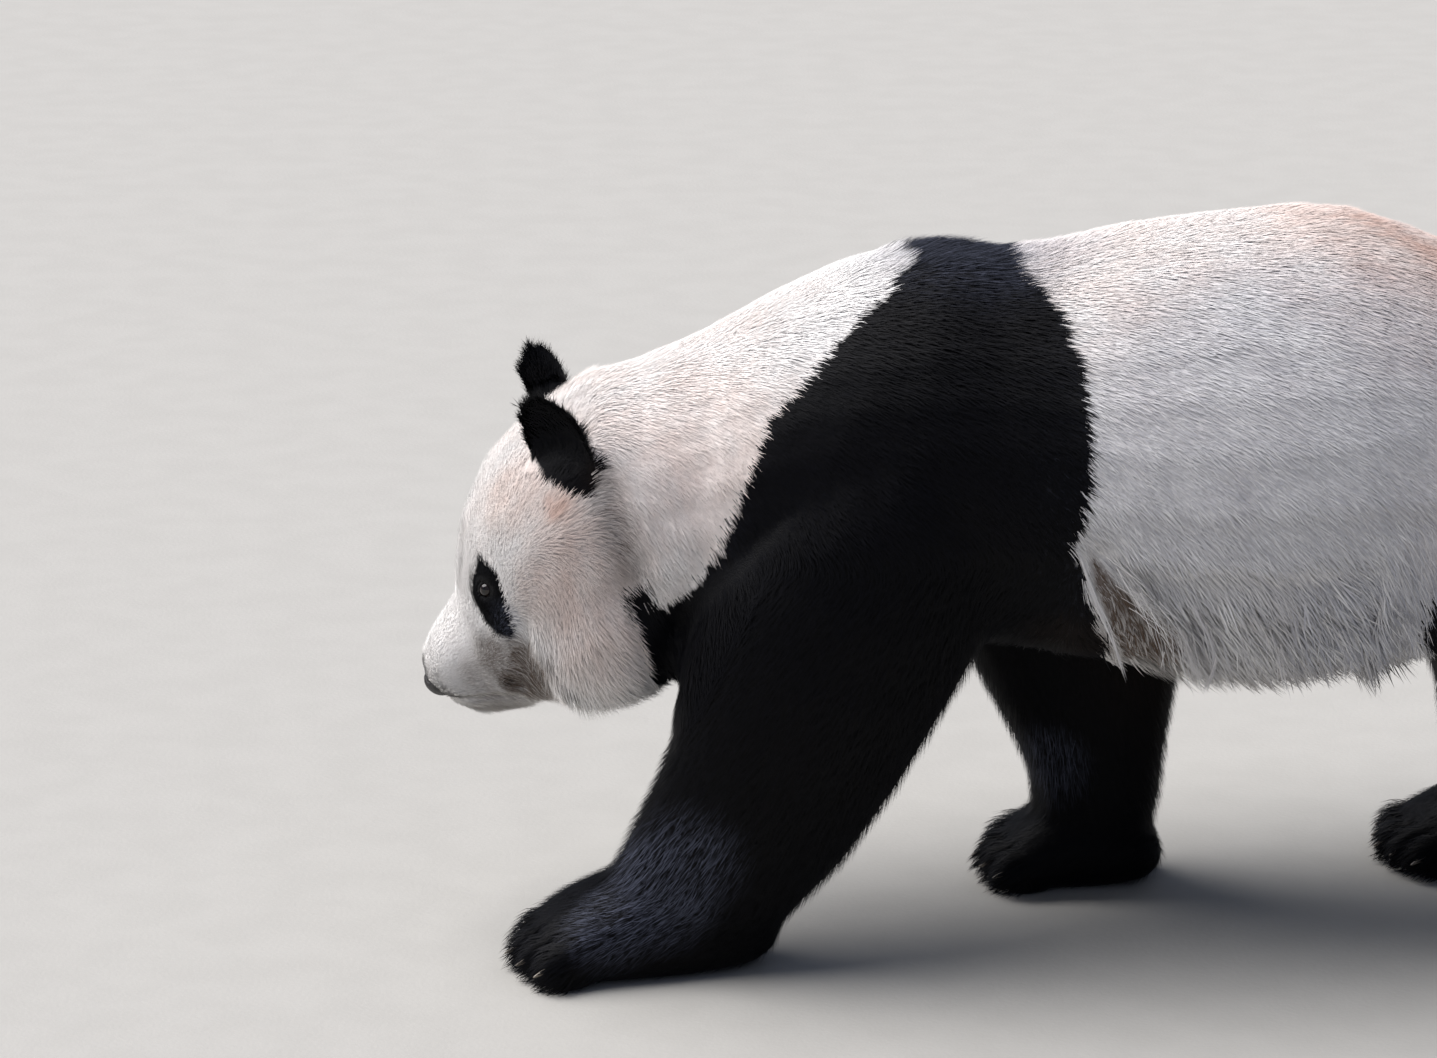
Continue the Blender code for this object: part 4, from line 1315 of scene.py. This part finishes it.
def growWisps():
    rng = np.random.default_rng(wisps["seed"])
    around = isBelly | np.isin(triangleKinds, ("chest", "upper"))
    chosen = skinTriangles[around]
    places = unwrapOf(skinPoints, chosen)
    starts = []
    ends = []
    for number, (path, count, reach) in enumerate(wisps["locks"]):
        for side in (-1,) if number < wisps["leftOnly"] else (-1, 1):
            way = np.array(path) * (1, -side, 1)
            shares = rng.random(count) ** 0.8 * wisps["latest"]
            offset = rng.normal(size=(count, 3)) * reach
            starts.append(placesAlong(way, shares) + offset * (1 - wisps["narrowing"] * shares[:, None]))
            shares = np.minimum(shares + wisps["run"] * rng.uniform(*wisps["runs"], count), 1.0)
            stray = rng.normal(size=(count, 3)) * reach
            ends.append(placesAlong(way, shares) + offset * wisps["gather"] + stray)
    roots = np.concatenate(starts)
    way = np.concatenate(ends) - roots
    count = len(roots)
    nearest = np.array([np.argmin(np.sum((triangleMiddles[around] - root) ** 2, axis=1)) for root in roots])
    normals = unit(skinFields[chosen[nearest]].mean(axis=1)[:, fieldColumns["normal"]])
    length = lengthOf(way)
    way[:, 2] += wisps["droop"] * length
    width = wisps["width"] * rng.uniform(*wisps["widths"], count)
    lift = np.full(count, wisps["lift"])
    piece, triangles = tuftMesh("coat_wisps", roots, normals, unit(way), length, width, wisps["rings"],
                                lift, wisps["droop"])
    dressTufts(piece, triangles, np.zeros(count), roots, rng.random(count), places[nearest].mean(axis=1),
               wisps["rings"], wisps["stainShadeShare"])
    return piece


finished(growWisps(), tuftPaint, "coat_white")
print("coat grown")


# The lids join the skin once the tufts are placed
def addLids():
    dressSkin(skin, skinShares, skinCoat[:, 4])
    for side in eyeSides:
        lids = makeLids(side)
        for field, value in zip(coatFields, lidSize["fields"]):
            keepFields(lids.data, len(lids.data.vertices), **{field: [value]})
        activate(skin)
        lids.select_set(True)
        bpy.ops.object.join()
    unwrap(skin)
    finished(skin, skinPaint, "coat_white", *fleshNames)


addLids()
print("skin finished")


# Eyes: a dark iris with an upright slit, under a clear wet front
eyeLook = {
    "segments": 48,
    "rings": 32,
    "iris": (0.69, 0.79),      # turn from the gaze where it ends
    "pupil": (0.17, 0.5),
    "cornea": 0.1,             # how far the front bulges, in eyeball radii
    "corneaEdge": (0.66, 1.0),
}


def eyePaint():
    paint = Paint("eye")
    place = paint.node("UVMap", {"uv_map": "UVMap"})
    around = paint.node("SeparateXYZ", {}, {"Vector": place})
    turn = (1.0 - Wire(paint, around.socket.node.outputs[1])) * math.pi
    east = turn * paint.maths("COSINE", around * (2 * math.pi), 0.0)
    north = turn * paint.maths("SINE", around * (2 * math.pi), 0.0)
    slit, tall = eyeLook["pupil"]
    pupil = 1.0 - paint.soft((east / slit) ** 2.0 + (north / tall) ** 2.0, 0.8, 1.25)
    iris = 1.0 - paint.soft(turn, *eyeLook["iris"])
    rays = paint.node("TexNoise", {}, {"Vector": place, "Scale": 40.0})
    brown = paint.mix(rays, tone(14, 8, 6), tone(34, 21, 14))
    white = paint.mix(paint.noise(900.0), tone(16, 11, 10), tone(28, 21, 19))
    colour = paint.mix(iris, white, paint.mix(pupil, brown, tone(4, 4, 4)))
    return paint.finish(Base_Color=colour, Roughness=0.12 + rays * 0.05, Coat_Weight=0.6,
                        Coat_Roughness=0.04, Coat_IOR=1.4, Specular_IOR_Level=0.3)


def settleAt(piece, place, turn):
    # smooth, with its place and turn in its mesh
    piece.location = place
    piece.rotation_euler = turn
    activate(piece)
    bpy.ops.object.transform_apply(location=True, rotation=True, scale=True)
    bpy.ops.object.shade_smooth()


def makeEye(side, paint):
    gaze = Vector(eyeGaze[side])
    bpy.ops.mesh.primitive_uv_sphere_add(segments=eyeLook["segments"], ring_count=eyeLook["rings"],
                                         radius=eyeRadius)
    eye = bpy.context.object
    eye.name = "eyeball_" + side
    points = pointsOf(eye.data)
    front = ease(points[:, 2] / eyeRadius, *eyeLook["corneaEdge"])
    points[:, 2] += front * eyeRadius * eyeLook["cornea"]
    setPoints(eye.data, points)
    settleAt(eye, eyeCentres[side], facing(gaze))
    finished(eye, paint, "eye", "eye_" + side)


eyeMaterial = eyePaint()
for side in eyeSides:
    makeEye(side, eyeMaterial)

# The nose: a wide pad of pebbled hide with two comma shaped nostrils
noseShape = {
    "half": (0.0165, 0.0235, 0.0125),
    "tilt": math.radians(38),
    "nostril": (-0.8, 0.52, -0.12),    # as shares of the half sizes
    "nostrilSlant": 0.45,
    "nostrilWidth": 0.3,
    "nostrilDepth": 0.34,
    "chin": 0.3,           # how much narrower the pad is below
    "groove": 0.1,
    "grooveWidth": 0.09,
}


def nosePaint():
    paint = Paint("nose")
    cells = paint.node("TexVoronoi", {"feature": "DISTANCE_TO_EDGE"},
                       {"Vector": paint.place(), "Scale": 950.0})
    drift = paint.noise(160.0, 3.0)
    colour = paint.mix(drift, tone(12, 9, 9), tone(30, 24, 23))
    relief = paint.bump(paint.soft(cells, 0.0, 0.16), 0.00035)
    return paint.finish(Base_Color=colour, Roughness=0.42 + drift * 0.2, Normal=relief, Coat_Weight=0.1,
                        Coat_Roughness=0.3)


def makeNose():
    bpy.ops.mesh.primitive_uv_sphere_add(segments=72, ring_count=48, radius=1.0)
    nose = bpy.context.object
    nose.name = "nose_pad"
    points = pointsOf(nose.data)
    points[:, 1] *= 1 - noseShape["chin"] * np.clip(-points[:, 2], 0, 1)
    for side in (-1, 1):
        x, y, z = noseShape["nostril"]
        away = points - np.array([x, side * y, z])
        away[:, 2] += away[:, 1] * side * noseShape["nostrilSlant"]
        pit = bell(lengthOf(away), noseShape["nostrilWidth"])
        points *= (1 - pit * noseShape["nostrilDepth"])[:, None]
    cleft = bell(points[:, 1], noseShape["grooveWidth"]) * ease(-points[:, 0], 0.2, 0.7)
    cleft = cleft * ease(-points[:, 2], -0.3, 0.3)
    points *= (1 - cleft * noseShape["groove"])[:, None]
    setPoints(nose.data, points * np.array(noseShape["half"]))
    settleAt(nose, noseCentre, (0, noseShape["tilt"], 0))
    finished(nose, nosePaint(), "nose", "nose")


makeNose()
print("eyes and nose made")


# Claws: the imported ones, rounded, paler towards the tip
def clawPaint():
    paint = Paint("claw")
    tip = paint.value("along")
    lines = paint.noise(700.0, 3.0)
    colour = paint.mix(paint.soft(tip + lines * 0.15, 0.2, 0.9), tone(36, 31, 28), tone(124, 114, 100))
    return paint.finish(Base_Color=colour, Roughness=0.34 + lines * 0.15, Coat_Weight=0.3,
                        Normal=paint.bump(lines, 0.0002))


clawSize = {
    "share": 0.88,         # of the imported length; the rest is hidden by the hair of the toes
    "rootDrop": 0.004,     # how far below its top a claw is rooted
}


def makeClaw(name):
    claw = packedCopy(name)
    points = pointsOf(claw.data)
    x = points[:, 0]
    keepFields(claw.data, along=(x.max() - x) / (x.max() - x.min()))
    root = np.array([x.max(), points[:, 1].mean(), points[:, 2].max() - clawSize["rootDrop"]])
    setPoints(claw.data, root + (points - root) * clawSize["share"])
    return claw


def makeClaws(leg, paint):
    claws = joined("claws_" + leg, [makeClaw(name) for name in clawsOf(leg)])
    applyModifier(claws, "SUBSURF", levels=2, render_levels=2)
    bpy.ops.object.shade_smooth()
    finished(claws, paint, "claw", *clawsOf(leg))


clawMaterial = clawPaint()
for leg in legNames:
    makeClaws(leg, clawMaterial)
print("claws made")
